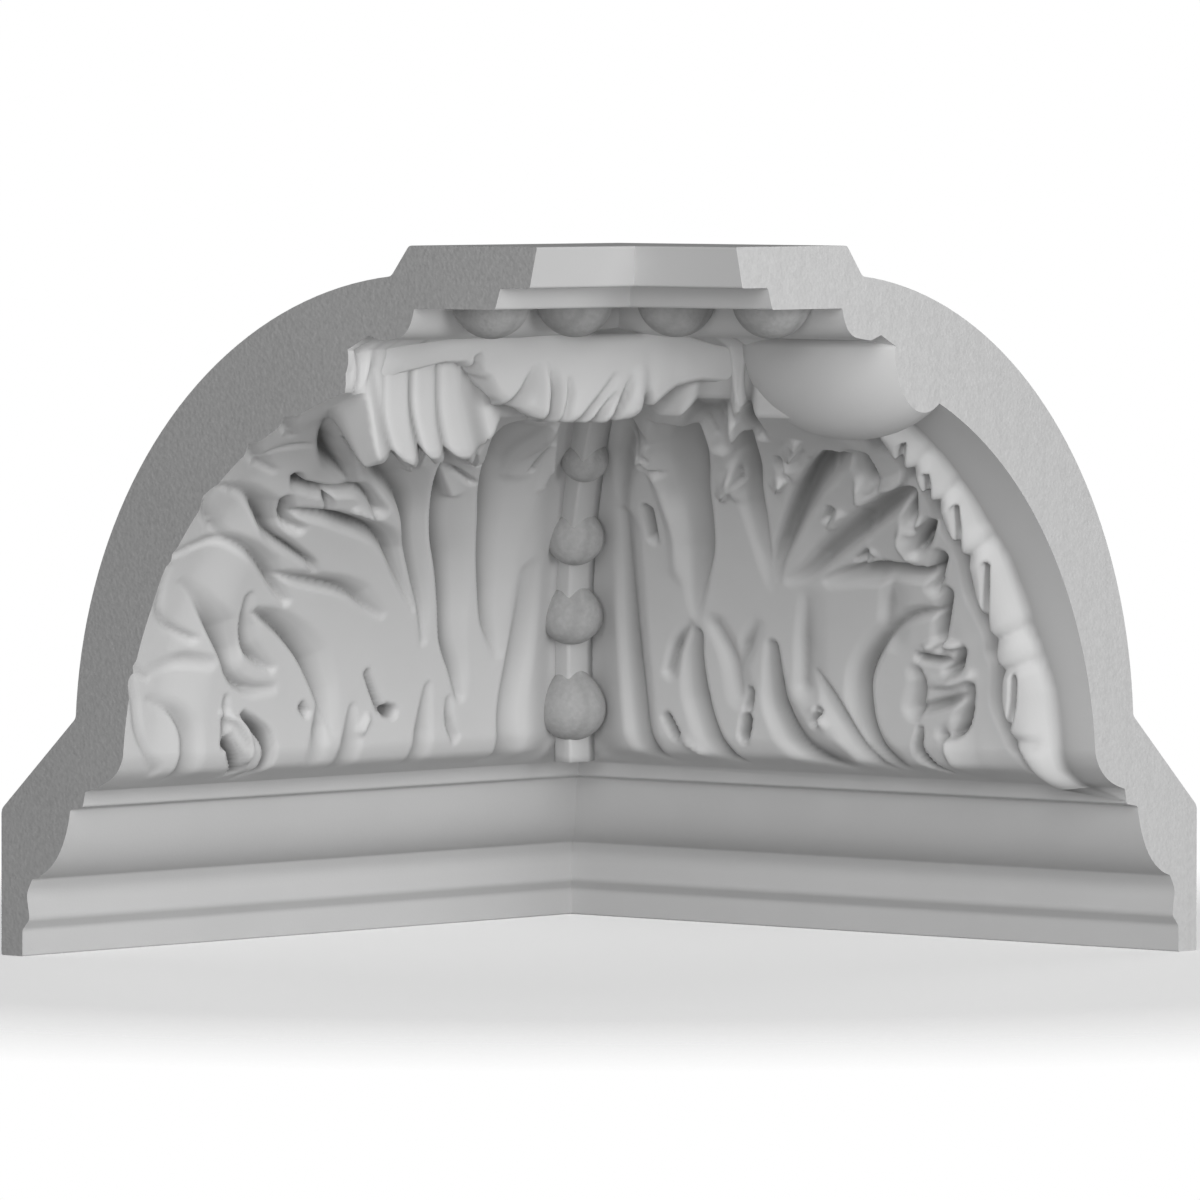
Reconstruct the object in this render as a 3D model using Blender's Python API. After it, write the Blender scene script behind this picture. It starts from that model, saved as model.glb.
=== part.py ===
"""Inside corner of a carved crown moulding, cast in one piece.

One wing runs in the direction +X and lies with its back against a wall, the
other runs in the direction +Y along the second wall, and they meet in a
mitre.  The piece stands on z = 0 with the origin under its middle.
Lengths are in millimetres and become metres where a mesh is made.
A place on a wing is given by its run, the distance along the wall from the
corner, its out, the distance from the wall, and its height.  On the cove,
girth is the distance up the curve from the level where it stands upright.
"""
import math

import bmesh
import bpy
import numpy as np

MM = 0.001

# Overall sizes
PROJECTION = 305.0
HEIGHT = 305.0
WING_X = 366.0
WING_Y = 360.0

# Foot of the moulding, from the bottom edge up
LIP = 12.4
LIP_HEIGHT = 11.3
BASE_BAND_OUT = 16.7
BASE_BAND_HEIGHT = 16.0
BASE_BAND_WAIST = 1.9
BASE_BAND_COVE = 6.2
OVOLO_SEAT = 1.6
OVOLO_FOOT_HEIGHT = 33.2
OVOLO_WIDTH = 22.5
OVOLO_HEIGHT = 30.7
OVOLO_FLATNESS = 4.4
FILLET_STEP = 7.8
FILLET_HEIGHT = 7.8
COVE_OVERHANG = 20.5
COVE_SPRING = 3.0
COVE_FOOT_ROUND = 13.0

# Top of the moulding, from the ceiling down
FASCIA_HEIGHT = 17.0
FASCIA_LEAN = 4.0
FASCIA_STEP = 16.0
DRIP_HEIGHT = 9.0
DRIP_LEAN = 3.0
SOFFIT_WIDTH = 44.7
RECESS_DEPTH = 12.4
RECESS_WIDTH = 9.5
NOSE_WIDTH = 9.0
NOSE_DROP = 1.2
QUIRK_WIDTH = 6.5
QUIRK_RISE = 1.0
SHELF_WIDTH = 12.3
SHELF_FALL = 6.1
BAND_HEIGHT = 13.5
BAND_ROUND = 1.5

# Back of the shell
WALL_FLAT = 62.4
BACK_CHAMFER_RISE = 40.3
SHELL_FOOT = 25.5
BACK_SPRING = 17.8
CEILING_FLAT = 70.6
BACK_STEP_HEIGHT = 12.8
BACK_STEP_WIDTH = 10.0

# Round beads sunk in the soffit, counted from the mitre
BEAD_RADIUS = 16.7
BEAD_DROP = 12.9
BEAD_LINE = 32.0
BEAD_FIRST = 30.0
BEAD_PITCH = 52.3
BEAD_COUNT = 2

# Smooth lobes cut by the ends, and the band between them
LOBE_HALF_WIDTH = 55.0
LOBE_DROP = 39.0
LOBE_BULGE = 28.0
LOBE_CROWN = 9.0
LOBE_SEAT = 16.0
LOBE_RUN_X = 412.0
LOBE_RUN_Y = 320.0
NOTCH_RUN_X = 357.0
NOTCH_RUN_Y = 271.0
NOTCH_HALF_WIDTH = 4.5
NOTCH_DEPTH = 9.0

# Pleated hood that curls over the corner of the band: the line of its face as x and y from the corner
# of the walls, the line inside the body that it grows from, how far its lower edge lies below the top of
# the band by the distance along it, how far its top stands over the band by its out, and its pleats as
# distance along it, reach and depth
HOOD_LINE = ((353, 197), (330, 203), (312, 207), (296, 212), (280, 220), (264, 230), (250, 238), (236, 243),
             (222, 246), (210, 250), (202, 258), (198, 266))
HOOD_ROOT = ((353, 190), (330, 190), (312, 190), (296, 190), (280, 190), (262, 190), (243, 190), (222, 190),
             (200, 190), (190, 210), (187, 240), (187, 266))
HOOD_EDGE = ((0, 15.5), (20, 9.5), (43, 7.5), (56, 9.5), (60, 6.5), (67, 13.5), (78, 25), (90, 30),
             (98, 31.8), (120, 32.2), (131, 30.7), (139, 25.5), (148, 21.5), (162, 15), (173, 15.9))
HOOD_PLEATS = ((81, 6, 6), (97, 6, 6), (112, 5, 5), (125, 5, 5), (139, 5, 6))
HOOD_TOP = ((200, 1), (207, 4.5), (212, 7), (226, 7), (230, 5.3))
HOOD_STATIONS = 36
HOOD_LEAN = 0.2
HOOD_LIP = 2.5
HOOD_THICKNESS = 5.0
HOOD_SHOULDER = 16.0
HOOD_SHOULDER_RISE = 4.0
HOOD_ARCH = 2.0

# String of beads down the corner: girth of the middle, radius, half length
STRING_BEADS = ((22.7, 15.2, 14.0), (65.7, 13.9, 12.4), (105.6, 12.9, 11.9), (153.0, 10.6, 9.3))
STRING_NECK = 6.6
STRING_OFF_X = 13.5
STRING_OFF_Y = 6.5
STRING_FOOT = -1.0
STRING_TOP = 204.0

# Raised edge of the next leaf on the wing along +Y: run of its face towards the corner and of its
# foot towards the cut, each by girth
EDGE_FACE = ((0, 330), (18, 321), (34, 318), (50, 321), (86, 317), (107, 320), (124, 317), (140, 320),
             (163, 319), (205, 322))
EDGE_FOOT = ((0, 342), (40, 341), (65, 337), (100, 335), (123, 333), (205, 332))
EDGE_HEIGHT = 12.0
EDGE_STEEP = 6.0
EDGE_TOP = 205.0

# Body of the leaf: thickness over the cove, and how it starts beside the mitre and ends beside the cut
LEAF_THICKNESS = 8.0
LEAF_START_X = 20.0
LEAF_START_Y = 8.0
LEAF_SLOPE = 28.0
LEAF_MARGIN_X = 322.0
LEAF_MARGIN_Y = 300.0
LEAF_THIN_X = 2.0
LEAF_THIN_Y = 2.5
LEAF_TOP = 200.0
CARVE_DEEPER = 1.15
CARVE_FLOOR = 2.0
CARVE_REACH = 6.5

# Hollows and ridges of the leaf, from the foot of each one up: its line as run and girth, the
# reach of its bank on the left and on the right of the way, and its depth, or its height if below 0
LEAF_X = (
    (((127, 1), (131, 40), (140, 92)), (14, 14, 12), (6, 6, 6), (3, 3, 1)),
    (((143, 53), (178, 116), (217, 183), (232, 198)), (5, 14, 20, 8), (5, 7, 9, 5), (1, 6, 8, 5)),
    (((187, 150), (201, 185)), (14, 18), (5, 6), (-2, -4)),
    (((163, 33), (185, 78), (216, 125), (252, 182), (263, 194)), (4, 12, 11, 4), (4, 6, 6), (2, 7, 8, 6)),
    (((241, 175), (258, 196)), (12, 12), (5, 5), (-3, -4)),
    (((193, 60), (236, 128), (306, 183), (327, 191)), (2, 10, 12, 6), (3, 6, 8), (1, 7, 8, 6)),
    (((206, 77), (249, 115), (301, 130)), (4, 7, 5), (3, 5, 4), (1, 5, 4)),
    (((225, 77), (260, 92), (300, 98)), (4, 5, 4), (4, 4, 3), (1, 4, 3)),
    (((240, 26), (263, 58), (305, 78)), (9, 9, 7), (5, 5, 4), (2, 5, 2)),
    (((276, 99), (316, 117), (334, 139), (360, 144)), (3, 5, 6), (3, 5, 4), (3, 4, 6)),
    (((290, 84), (321, 111), (364, 106)), (4, 5, 4), (3, 4, 3), (2, 5, 3)),
    (((282, 41), (316, 54), (352, 91)), (5, 6, 6), (4, 4, 4), (1, 4, 2)),
    (((290, 50), (309, 69), (313, 85)), (5, 5, 5), (3, 3, 3), (2, 5, 3)),
    (((333, 2), (336, 26), (355, 37)), (4, 4, 3), (9, 7, 5), (3, 4, 2)),
    (((276, 0), (283, 19), (294, 28)), (6, 5, 4), (5, 4, 3), (8, 8, 3)),
    (((331, 182), (307, 160), (288, 149)), (6, 5, 4), (6, 5, 4), (8, 7, 3)),
    (((325, 154), (306, 145), (285, 145)), (5, 4, 4), (5, 4, 4), (5, 6, 3)),
)
LEAF_Y = (
    (((114, 1), (110, 50), (129, 121), (176, 190)), (9, 9, 7), (9, 12, 12), (5, 6, 8)),
    (((151, 69), (171, 112), (202, 184), (214, 201)), (4, 17, 15), (3, 13, 15), (0, 7, 8)),
    (((150, 95), (165, 139), (170, 163)), (5, 7, 5), (14, 16, 12), (-1, -3, -2)),
    (((202, 84), (213, 125), (241, 184), (251, 200)), (5, 11, 11), (3, 6, 8), (0, 6, 8)),
    (((221, 176), (232, 198), (258, 230)), (6, 12, 13), (8, 11, 11), (3, 9, 11)),
    (((257, 192), (265, 208), (275, 230)), (6, 6), (6, 6), (3, 7, 8)),
    (((204, 88), (231, 126), (283, 172)), (3, 6, 8), (4, 7, 9), (0, 6, 8)),
    (((210, 89), (253, 111), (301, 139)), (4, 9, 11), (4, 5, 5), (0, 6, 6)),
    (((236, 91), (270, 99), (298, 97)), (4, 5, 4), (5, 9, 6), (1, 6, 5)),
    (((253, 4), (240, 34), (264, 68), (296, 77)), (10, 9, 4), (8, 7, 4), (5, 7, 3)),
    (((246, 1), (230, 20), (215, 45)), (9, 9, 6), (5, 5, 4), (4, 5, 2)),
    (((159, 1), (147, 30), (151, 61)), (9, 10, 6), (7, 7, 4), (5, 7, 4)),
    (((219, 1), (192, 25), (193, 57)), (10, 8, 4), (13, 11, 4), (6, 7, 4)),
    (((277, 141), (282, 150)), (4, 4), (9, 9), (-3, -4)),
    (((287, 107), (291, 123)), (4, 4), (9, 9), (-3, -3)),
    (((289, 61), (301, 86)), (4, 4), (5, 4), (6, 6)),
    (((297, 123), (307, 143)), (5, 5), (5, 4), (6, 7)),
    (((289, 146), (299, 172)), (6, 9), (5, 5), (5, 8)),
)

# How finely the face is cut up
COLUMNS = 50
COVE_ROWS = 36
BAND_ROWS = 3
FOOT_ROWS = 3
CURVE_STEPS = 6
MITRE_FADE = 10.0
SAW_WASTE = 5.0
SAW_REACH = 170.0

# Levels and lines that follow from the sizes above
OVOLO_FOOT_OUT = BASE_BAND_OUT + OVOLO_SEAT
OVOLO_OUT = OVOLO_FOOT_OUT + OVOLO_WIDTH
OVOLO_TOP = OVOLO_FOOT_HEIGHT + OVOLO_HEIGHT
FILLET_OUT = OVOLO_OUT + FILLET_STEP
FILLET_TOP = OVOLO_TOP + FILLET_HEIGHT
COVE_OUT = FILLET_OUT + COVE_OVERHANG
COVE_BASE = FILLET_TOP + COVE_SPRING
FASCIA_OUT = PROJECTION - FASCIA_LEAN
FASCIA_FOOT = HEIGHT - FASCIA_HEIGHT
DRIP_OUT = FASCIA_OUT - FASCIA_STEP
SOFFIT_OUT = DRIP_OUT - DRIP_LEAN
SOFFIT = FASCIA_FOOT - DRIP_HEIGHT
RECESS_OUT = SOFFIT_OUT - SOFFIT_WIDTH
NOSE_OUT = RECESS_OUT - RECESS_WIDTH
NOSE_HEIGHT = SOFFIT - RECESS_DEPTH
QUIRK_OUT = NOSE_OUT - NOSE_WIDTH - QUIRK_WIDTH
QUIRK_HEIGHT = NOSE_HEIGHT + QUIRK_RISE
BAND_OUT = QUIRK_OUT - SHELF_WIDTH
BAND_TOP = QUIRK_HEIGHT - SHELF_FALL
BAND_FOOT = BAND_TOP - BAND_HEIGHT


def upright_arc(foot, top):
    """Centre and radius of the arc that leaves foot upright and passes through top."""
    across = top[0] - foot[0]
    rise = top[1] - foot[1]
    radius = (across * across + rise * rise) / (2.0 * across)
    return foot[0] + radius, foot[1], radius


COVE_CENTRE_OUT, COVE_CENTRE_HEIGHT, COVE_RADIUS = upright_arc((COVE_OUT, COVE_BASE), (BAND_OUT, BAND_FOOT))


def bezier(points, share):
    """Point of a Bezier curve."""
    points = [np.asarray(p, float) for p in points]
    while len(points) > 1:
        points = [a + (b - a) * share for a, b in zip(points, points[1:])]
    return points[0]


def smooth(value):
    """Smooth step from 0 to 1."""
    value = np.clip(value, 0.0, 1.0)
    return value * value * (3.0 - 2.0 * value)


def bump(value):
    """Round hump of height 1 at 0 that ends at -1 and 1."""
    return np.clip(1.0 - value * value, 0.0, None) ** 2


def band_out(wing, run):
    """How far the band under the beads stands off the wall."""
    notch = NOTCH_RUN_X if wing == "x" else NOTCH_RUN_Y
    return BAND_OUT - NOTCH_DEPTH * np.clip(1.0 - np.abs(run - notch) / NOTCH_HALF_WIDTH, 0.0, 1.0)


def curve(points):
    """Points along a smooth curve through the given ones."""
    points = np.asarray(points, float)
    ends = np.vstack([2.0 * points[0] - points[1], points, 2.0 * points[-1] - points[-2]])
    line = []
    for before, start, end, after in zip(ends, ends[1:], ends[2:], ends[3:]):
        for step in range(CURVE_STEPS):
            share = step / CURVE_STEPS
            bend = 2.0 * before - 5.0 * start + 4.0 * end - after
            twist = 3.0 * start - before - 3.0 * end + after
            line.append(start + 0.5 * ((end - before) * share + bend * share ** 2 + twist * share ** 3))
    return np.array(line + [points[-1]])


def hollow(run, girth, line, left, right, depth):
    """Depth of one hollow at each place; its banks flatten out at their reach."""
    line = curve(line)
    nearest = np.full(run.shape, np.inf)
    share = np.zeros(run.shape)
    lean = np.zeros(run.shape)
    pieces = len(line) - 1
    for number in range(pieces):
        start = line[number]
        way = line[number + 1] - start
        length = math.hypot(*way)
        along = np.clip(((run - start[0]) * way[0] + (girth - start[1]) * way[1]) / length ** 2, 0.0, 1.0)
        beside = run - start[0] - along * way[0]
        above = girth - start[1] - along * way[1]
        far = np.hypot(beside, above)
        closer = far < nearest
        nearest = np.where(closer, far, nearest)
        share = np.where(closer, (number + along) / pieces, share)
        lean = np.where(closer, (way[0] * above - way[1] * beside) / length, lean)

    def value(values):
        """Value at each place of a size given along the line."""
        return np.interp(share, np.linspace(0.0, 1.0, len(values)), values)

    lean = 0.5 + 0.5 * np.clip(lean / np.maximum(nearest, 1e-6), -1.0, 1.0)
    reach = np.maximum(value(left) * lean + value(right) * (1.0 - lean), CARVE_REACH)
    return value(depth) * bump(np.minimum(nearest / reach, 1.0))


def carving(wing, run, girth):
    """Height of the carved leaf above the cove."""
    beside = run - (COVE_CENTRE_OUT - COVE_RADIUS * np.cos(girth / COVE_RADIUS))
    start = LEAF_START_X if wing == "x" else LEAF_START_Y
    margin = LEAF_MARGIN_X if wing == "x" else LEAF_MARGIN_Y
    thin = LEAF_THIN_X if wing == "x" else LEAF_THIN_Y
    body = smooth((beside - start) / LEAF_SLOPE)
    body = body * (1.0 - (1.0 - thin / LEAF_THICKNESS) * smooth((run - margin) / LEAF_SLOPE))
    body = body * (1.0 - 0.5 * smooth((girth - LEAF_TOP) / LEAF_SLOPE))
    cut = np.zeros(run.shape)
    ridge = np.zeros(run.shape)
    for line, left, right, depth in (LEAF_X if wing == "x" else LEAF_Y):
        amount = CARVE_DEEPER * hollow(run, girth, line, left, right, depth)
        cut = cut + np.maximum(amount, 0.0) ** 3
        ridge = ridge + np.maximum(-amount, 0.0)
    floor = LEAF_THICKNESS + CARVE_FLOOR * (1.0 - smooth((girth - LEAF_TOP) / LEAF_SLOPE))
    height = body * (LEAF_THICKNESS - np.minimum(np.cbrt(cut), floor) + ridge)
    if wing == "y":
        face = np.interp(girth, *np.transpose(EDGE_FACE))
        height = height * (1.0 - smooth((run - face + 1.5 * EDGE_STEEP) / EDGE_STEEP))
        height = np.maximum(height, raised_edge(run, girth))
    return height


def raised_edge(run, girth):
    """Scalloped upright edge, steep towards the corner and rounded over towards the cut."""
    face = np.interp(girth, *np.transpose(EDGE_FACE))
    foot = np.interp(girth, *np.transpose(EDGE_FOOT))
    steep = smooth((run - face) / EDGE_STEEP)
    over = np.clip((run - face - EDGE_STEEP) / (foot - face - EDGE_STEEP), 0.0, 1.0)
    return EDGE_HEIGHT * steep * (1.0 - over * over) * smooth((EDGE_TOP - girth) / EDGE_HEIGHT)


def front_foot():
    """Corners of the plain foot, from the wall up to the cove fillet."""
    waist = (BASE_BAND_OUT - BASE_BAND_WAIST, OVOLO_FOOT_HEIGHT - BASE_BAND_COVE)
    corners = [(0.0, 0.0), (LIP, 0.0), (LIP, LIP_HEIGHT), (BASE_BAND_OUT, BASE_BAND_HEIGHT), waist]
    bulge = (OVOLO_OUT - OVOLO_FLATNESS, OVOLO_FOOT_HEIGHT + OVOLO_FLATNESS)
    ovolo = ((OVOLO_FOOT_OUT, OVOLO_FOOT_HEIGHT), bulge, (OVOLO_OUT, OVOLO_TOP))
    corners += [tuple(bezier(ovolo, share / 6.0)) for share in range(7)]
    return corners + [(FILLET_OUT - 0.6, OVOLO_TOP + 1.2)]


def front_top():
    """Corners of the plain top, from the nose under the beads round the back to the wall."""
    nose = ((NOSE_OUT - NOSE_WIDTH, NOSE_HEIGHT - NOSE_DROP), (NOSE_OUT, NOSE_HEIGHT))
    recess = (nose[1], (RECESS_OUT - 2.0, NOSE_HEIGHT + 1.5), (RECESS_OUT, SOFFIT))
    corners = [nose[0]] + [tuple(bezier(recess, share / 4.0)) for share in range(5)]
    corners += [(SOFFIT_OUT, SOFFIT), (DRIP_OUT, FASCIA_FOOT), (FASCIA_OUT, FASCIA_FOOT)]
    corners += [(PROJECTION, HEIGHT), (PROJECTION - CEILING_FLAT, HEIGHT)]
    back_top = (PROJECTION - CEILING_FLAT - BACK_STEP_WIDTH, HEIGHT - BACK_STEP_HEIGHT)
    back_foot = (COVE_OUT - SHELL_FOOT, COVE_BASE + BACK_SPRING)
    centre_out, centre_height, radius = upright_arc(back_foot, back_top)
    first = math.asin((back_top[1] - centre_height) / radius)
    last = math.asin((WALL_FLAT + BACK_CHAMFER_RISE - centre_height) / radius)
    steps = 14
    for step in range(steps + 1):
        angle = first + (last - first) * step / steps
        corners.append((centre_out - radius * math.cos(angle), centre_height + radius * math.sin(angle)))
    return corners + [(0.0, WALL_FLAT)]


def carved_rows(wing, length):
    """Run, out and height of each point of the carved face, row by row from the fillet to the quirk."""
    shares = np.linspace(0.0, 1.0, COLUMNS + 1)
    first = math.asin(COVE_FOOT_ROUND / COVE_RADIUS)
    runs = []
    angles = []
    run = BAND_OUT + (length - BAND_OUT) * shares
    for level in range(COVE_ROWS + 1):
        share = level / COVE_ROWS
        for _ in range(12):
            last = np.arccos((COVE_CENTRE_OUT - band_out(wing, run)) / COVE_RADIUS)
            mitre = COVE_CENTRE_OUT - COVE_RADIUS * math.cos(first + (last[0] - first) * share)
            run = mitre + (length - mitre) * shares
        runs.append(run)
        angles.append(first + (last - first) * share)
    run = np.array(runs)
    angle = np.array(angles)
    out = COVE_CENTRE_OUT - COVE_RADIUS * np.cos(angle)
    height = COVE_CENTRE_HEIGHT + COVE_RADIUS * np.sin(angle)
    lift = carving(wing, run, COVE_RADIUS * angle) * smooth((run - out) / MITRE_FADE)
    rows = []
    foot = ((FILLET_OUT + 0.9, FILLET_TOP), (COVE_OUT - 3.0, FILLET_TOP + 3.5), (out[0][0], height[0][0]))
    for level in range(FOOT_ROWS):
        foot_out, foot_height = bezier(foot, level / FOOT_ROWS)
        foot_run = foot_out + (length - foot_out) * shares
        raised = foot_out + lift[0] * smooth(level / FOOT_ROWS)
        rows.append((foot_run, raised, np.full(shares.shape, foot_height)))
    rows += list(zip(run, out + lift * np.cos(angle), height - lift * np.sin(angle)))
    for level in range(1, BAND_ROWS + 1):
        share = level / BAND_ROWS
        swell = BAND_ROUND * (1.0 - (2.0 * share - 1.0) ** 2) * smooth((run[-1] - out[-1]) / MITRE_FADE)
        rows.append((run[-1], out[-1] + swell, height[-1] + (BAND_TOP - height[-1]) * share))
    quirk_run = QUIRK_OUT + (length - QUIRK_OUT) * shares
    rows.append((quirk_run, np.full(shares.shape, QUIRK_OUT), np.full(shares.shape, QUIRK_HEIGHT)))
    return rows


def corner_place(x, y, height):
    """World place, in metres, of a point given from the corner of the walls."""
    return ((x - WING_X / 2.0) * MM, (y - WING_Y / 2.0) * MM, height * MM)


def place(wing, run, out, height):
    """World place, in metres, of a point of a wing."""
    if wing == "x":
        return corner_place(run, out, height)
    return corner_place(out, run, height)


def swept_body():
    """The whole profile swept along both wings, a little longer than the cut length."""
    mesh = bmesh.new()
    lengths = {"x": WING_X + SAW_WASTE, "y": WING_Y + SAW_WASTE}
    carved = {wing: carved_rows(wing, lengths[wing]) for wing in lengths}
    rows = []
    for out, height in front_foot():
        rows.append([mesh.verts.new(place("x", lengths["x"], out, height)),
                     mesh.verts.new(place("x", out, out, height)),
                     mesh.verts.new(place("y", lengths["y"], out, height))])
    for along_x, along_y in zip(carved["x"], carved["y"]):
        places = [place("x", *point) for point in np.transpose(along_x)[::-1]]
        places += [place("y", *point) for point in np.transpose(along_y)[1:]]
        rows.append([mesh.verts.new(point) for point in places])
    for out, height in front_top():
        rows.append([mesh.verts.new(place("x", lengths["x"], out, height)),
                     mesh.verts.new(place("x", out, out, height)),
                     mesh.verts.new(place("y", lengths["y"], out, height))])
    for lower, upper in zip(rows, rows[1:] + rows[:1]):
        if len(lower) == len(upper):
            for i in range(len(lower) - 1):
                mesh.faces.new((lower[i], lower[i + 1], upper[i + 1], upper[i]))
            continue
        halves = []
        for row in (lower, upper):
            middle = len(row) // 2
            halves.append((row[:middle + 1], row[middle:]))
        for low, high in zip(*halves):
            mesh.faces.new(low + high[::-1])
    mesh.faces.new([row[0] for row in rows])
    mesh.faces.new([row[-1] for row in rows])
    return mesh


def finish_mesh(mesh, name):
    """Turn the faces outwards and make the object."""
    mesh.normal_update()
    bmesh.ops.recalc_face_normals(mesh, faces=mesh.faces)
    if mesh.calc_volume(signed=True) < 0.0:
        bmesh.ops.reverse_faces(mesh, faces=mesh.faces)
    data = bpy.data.meshes.new(name)
    mesh.to_mesh(data)
    mesh.free()
    thing = bpy.data.objects.new(name, data)
    bpy.context.scene.collection.objects.link(thing)
    return thing


def bead(name, wing, run):
    """Ball sunk in the soffit."""
    mesh = bmesh.new()
    bmesh.ops.create_uvsphere(mesh, u_segments=14, v_segments=9, radius=BEAD_RADIUS * MM)
    middle = place(wing, run, SOFFIT_OUT - BEAD_LINE, SOFFIT - BEAD_DROP + BEAD_RADIUS)
    bmesh.ops.translate(mesh, verts=mesh.verts, vec=middle)
    return finish_mesh(mesh, name)


def lobe(name, wing, run):
    """Smooth egg-shaped lobe that hangs over the cove."""
    mesh = bmesh.new()
    bmesh.ops.create_uvsphere(mesh, u_segments=24, v_segments=14, radius=1.0)
    for vert in mesh.verts:
        across, forward, up = vert.co
        up = up * (LOBE_CROWN if up > 0.0 else LOBE_DROP)
        vert.co = place(wing, run + across * LOBE_HALF_WIDTH, BAND_OUT - LOBE_SEAT + forward * LOBE_BULGE,
                        BAND_TOP + up)
    return finish_mesh(mesh, name)


def hood(name):
    """Pleated leaf tip that curls over the corner of the band."""
    mesh = bmesh.new()
    face = curve(HOOD_LINE)
    root = curve(HOOD_ROOT)
    lengths = np.concatenate([[0.0], np.cumsum(np.hypot(*np.diff(face, axis=0).T))])
    along = np.linspace(0.0, lengths[-1], HOOD_STATIONS)
    face = np.transpose([np.interp(along, lengths, face[:, axis]) for axis in (0, 1)])
    root = np.transpose([np.interp(along, lengths, root[:, axis]) for axis in (0, 1)])
    inward = root - face
    reach = np.hypot(*inward.T)
    inward = inward / reach[:, None]
    top = BAND_TOP + np.interp(face.min(axis=1), *np.transpose(HOOD_TOP))
    edge = BAND_TOP - np.interp(along, *np.transpose(HOOD_EDGE))
    rows = [(reach, QUIRK_HEIGHT), (np.minimum(HOOD_SHOULDER, 0.7 * reach), top + HOOD_SHOULDER_RISE),
            (np.minimum(HOOD_LIP, 0.3 * reach), top)]
    for share in (0.1, 0.3, 0.5, 0.7, 0.9, 1.0):
        drop = (top - edge) * share
        back = HOOD_LEAN * drop + HOOD_LIP * max(0.0, share - 0.9) * 10.0
        for middle, half, depth in HOOD_PLEATS:
            beside = np.minimum(np.abs(along - middle) / half, 1.0)
            back = back + depth * smooth(2.0 * share - 1.0) * bump(beside)
        rows.append((back, top - drop))
    lip = np.minimum(back + HOOD_THICKNESS, 0.6 * reach)
    rows.append((lip, edge + 0.25 * HOOD_ARCH))
    rows.append((np.maximum(lip, 0.65 * reach), np.maximum(edge + HOOD_ARCH, 0.5 * (edge + BAND_FOOT))))
    rows.append((reach, BAND_FOOT))
    grid = []
    for back, height in rows:
        places = face + inward * np.reshape(back, (-1, 1))
        heights = np.broadcast_to(height, along.shape)
        grid.append([mesh.verts.new(corner_place(x, y, z)) for (x, y), z in zip(places, heights)])
    for lower, upper in zip(grid, grid[1:] + grid[:1]):
        for i in range(len(along) - 1):
            mesh.faces.new((lower[i], lower[i + 1], upper[i + 1], upper[i]))
    mesh.faces.new([row[0] for row in grid])
    mesh.faces.new([row[-1] for row in grid])
    return finish_mesh(mesh, name)


def string_radius(girth):
    """Radius of the bead string at a distance up the cove."""
    radius = STRING_NECK
    for middle, bead_radius, half_length in STRING_BEADS:
        off = abs(girth - middle) / half_length
        if off < 1.0:
            radius = max(radius, bead_radius * math.sqrt(1.0 - off * off))
    return radius


def bead_string(name):
    """Beads and necks turned along the line of the mitre."""
    mesh = bmesh.new()
    sides = 12
    stations = {STRING_FOOT, STRING_TOP}
    for middle, bead_radius, half_length in STRING_BEADS:
        reach = half_length * math.sqrt(1.0 - (STRING_NECK / bead_radius) ** 2)
        for share in (-1.0, -0.8, -0.5, -0.17, 0.17, 0.5, 0.8, 1.0):
            stations.add(round(middle + reach * share, 3))
    rings = []
    for girth in sorted(stations):
        angle = girth / COVE_RADIUS
        out = COVE_CENTRE_OUT - COVE_RADIUS * math.cos(angle)
        height = COVE_CENTRE_HEIGHT + COVE_RADIUS * math.sin(angle)
        radius = string_radius(girth)
        half = math.sqrt(0.5)
        diagonal = math.hypot(math.cos(angle), math.sin(angle) * math.sqrt(2.0))
        lift = math.cos(angle) / diagonal
        tilt = math.sin(angle) * math.sqrt(2.0) / diagonal
        ring = []
        for side in range(sides):
            turn = 2.0 * math.pi * side / sides
            across = radius * math.cos(turn)
            forward = radius * math.sin(turn)
            x = out + STRING_OFF_X - across * half + forward * half * lift
            y = out + STRING_OFF_Y + across * half + forward * half * lift
            ring.append(mesh.verts.new(corner_place(x, y, height - forward * tilt)))
        rings.append(ring)
    for lower, upper in zip(rings, rings[1:]):
        for i in range(sides):
            mesh.faces.new((lower[i], lower[(i + 1) % sides], upper[(i + 1) % sides], upper[i]))
    mesh.faces.new(rings[0][::-1])
    mesh.faces.new(rings[-1])
    return finish_mesh(mesh, name)


def saw(name, wing, length):
    """Block that cuts the end of a wing off square."""
    mesh = bmesh.new()
    bmesh.ops.create_cube(mesh, size=2.0 * SAW_REACH)
    for vert in mesh.verts:
        along, across, up = vert.co
        vert.co = place(wing, length + SAW_REACH + along, PROJECTION / 2.0 + across, HEIGHT / 2.0 + up)
    return finish_mesh(mesh, name)


def primed_foam():
    """Grey primer over rigid foam."""
    material = bpy.data.materials.new("primed_foam")
    material.use_nodes = True
    shader = material.node_tree.nodes["Principled BSDF"]
    shader.inputs["Base Color"].default_value = (0.60, 0.60, 0.60, 1.0)
    shader.inputs["Roughness"].default_value = 0.6
    shader.inputs["Metallic"].default_value = 0.0
    return material


def use_tool(thing, tool, operation):
    """Join a tool to the body, or cut with it, and keep the tool out of sight."""
    tool.hide_render = True
    tool.display_type = "WIRE"
    step = thing.modifiers.new(tool.name, "BOOLEAN")
    step.operation = operation
    step.solver = "EXACT"
    step.object = tool


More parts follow.
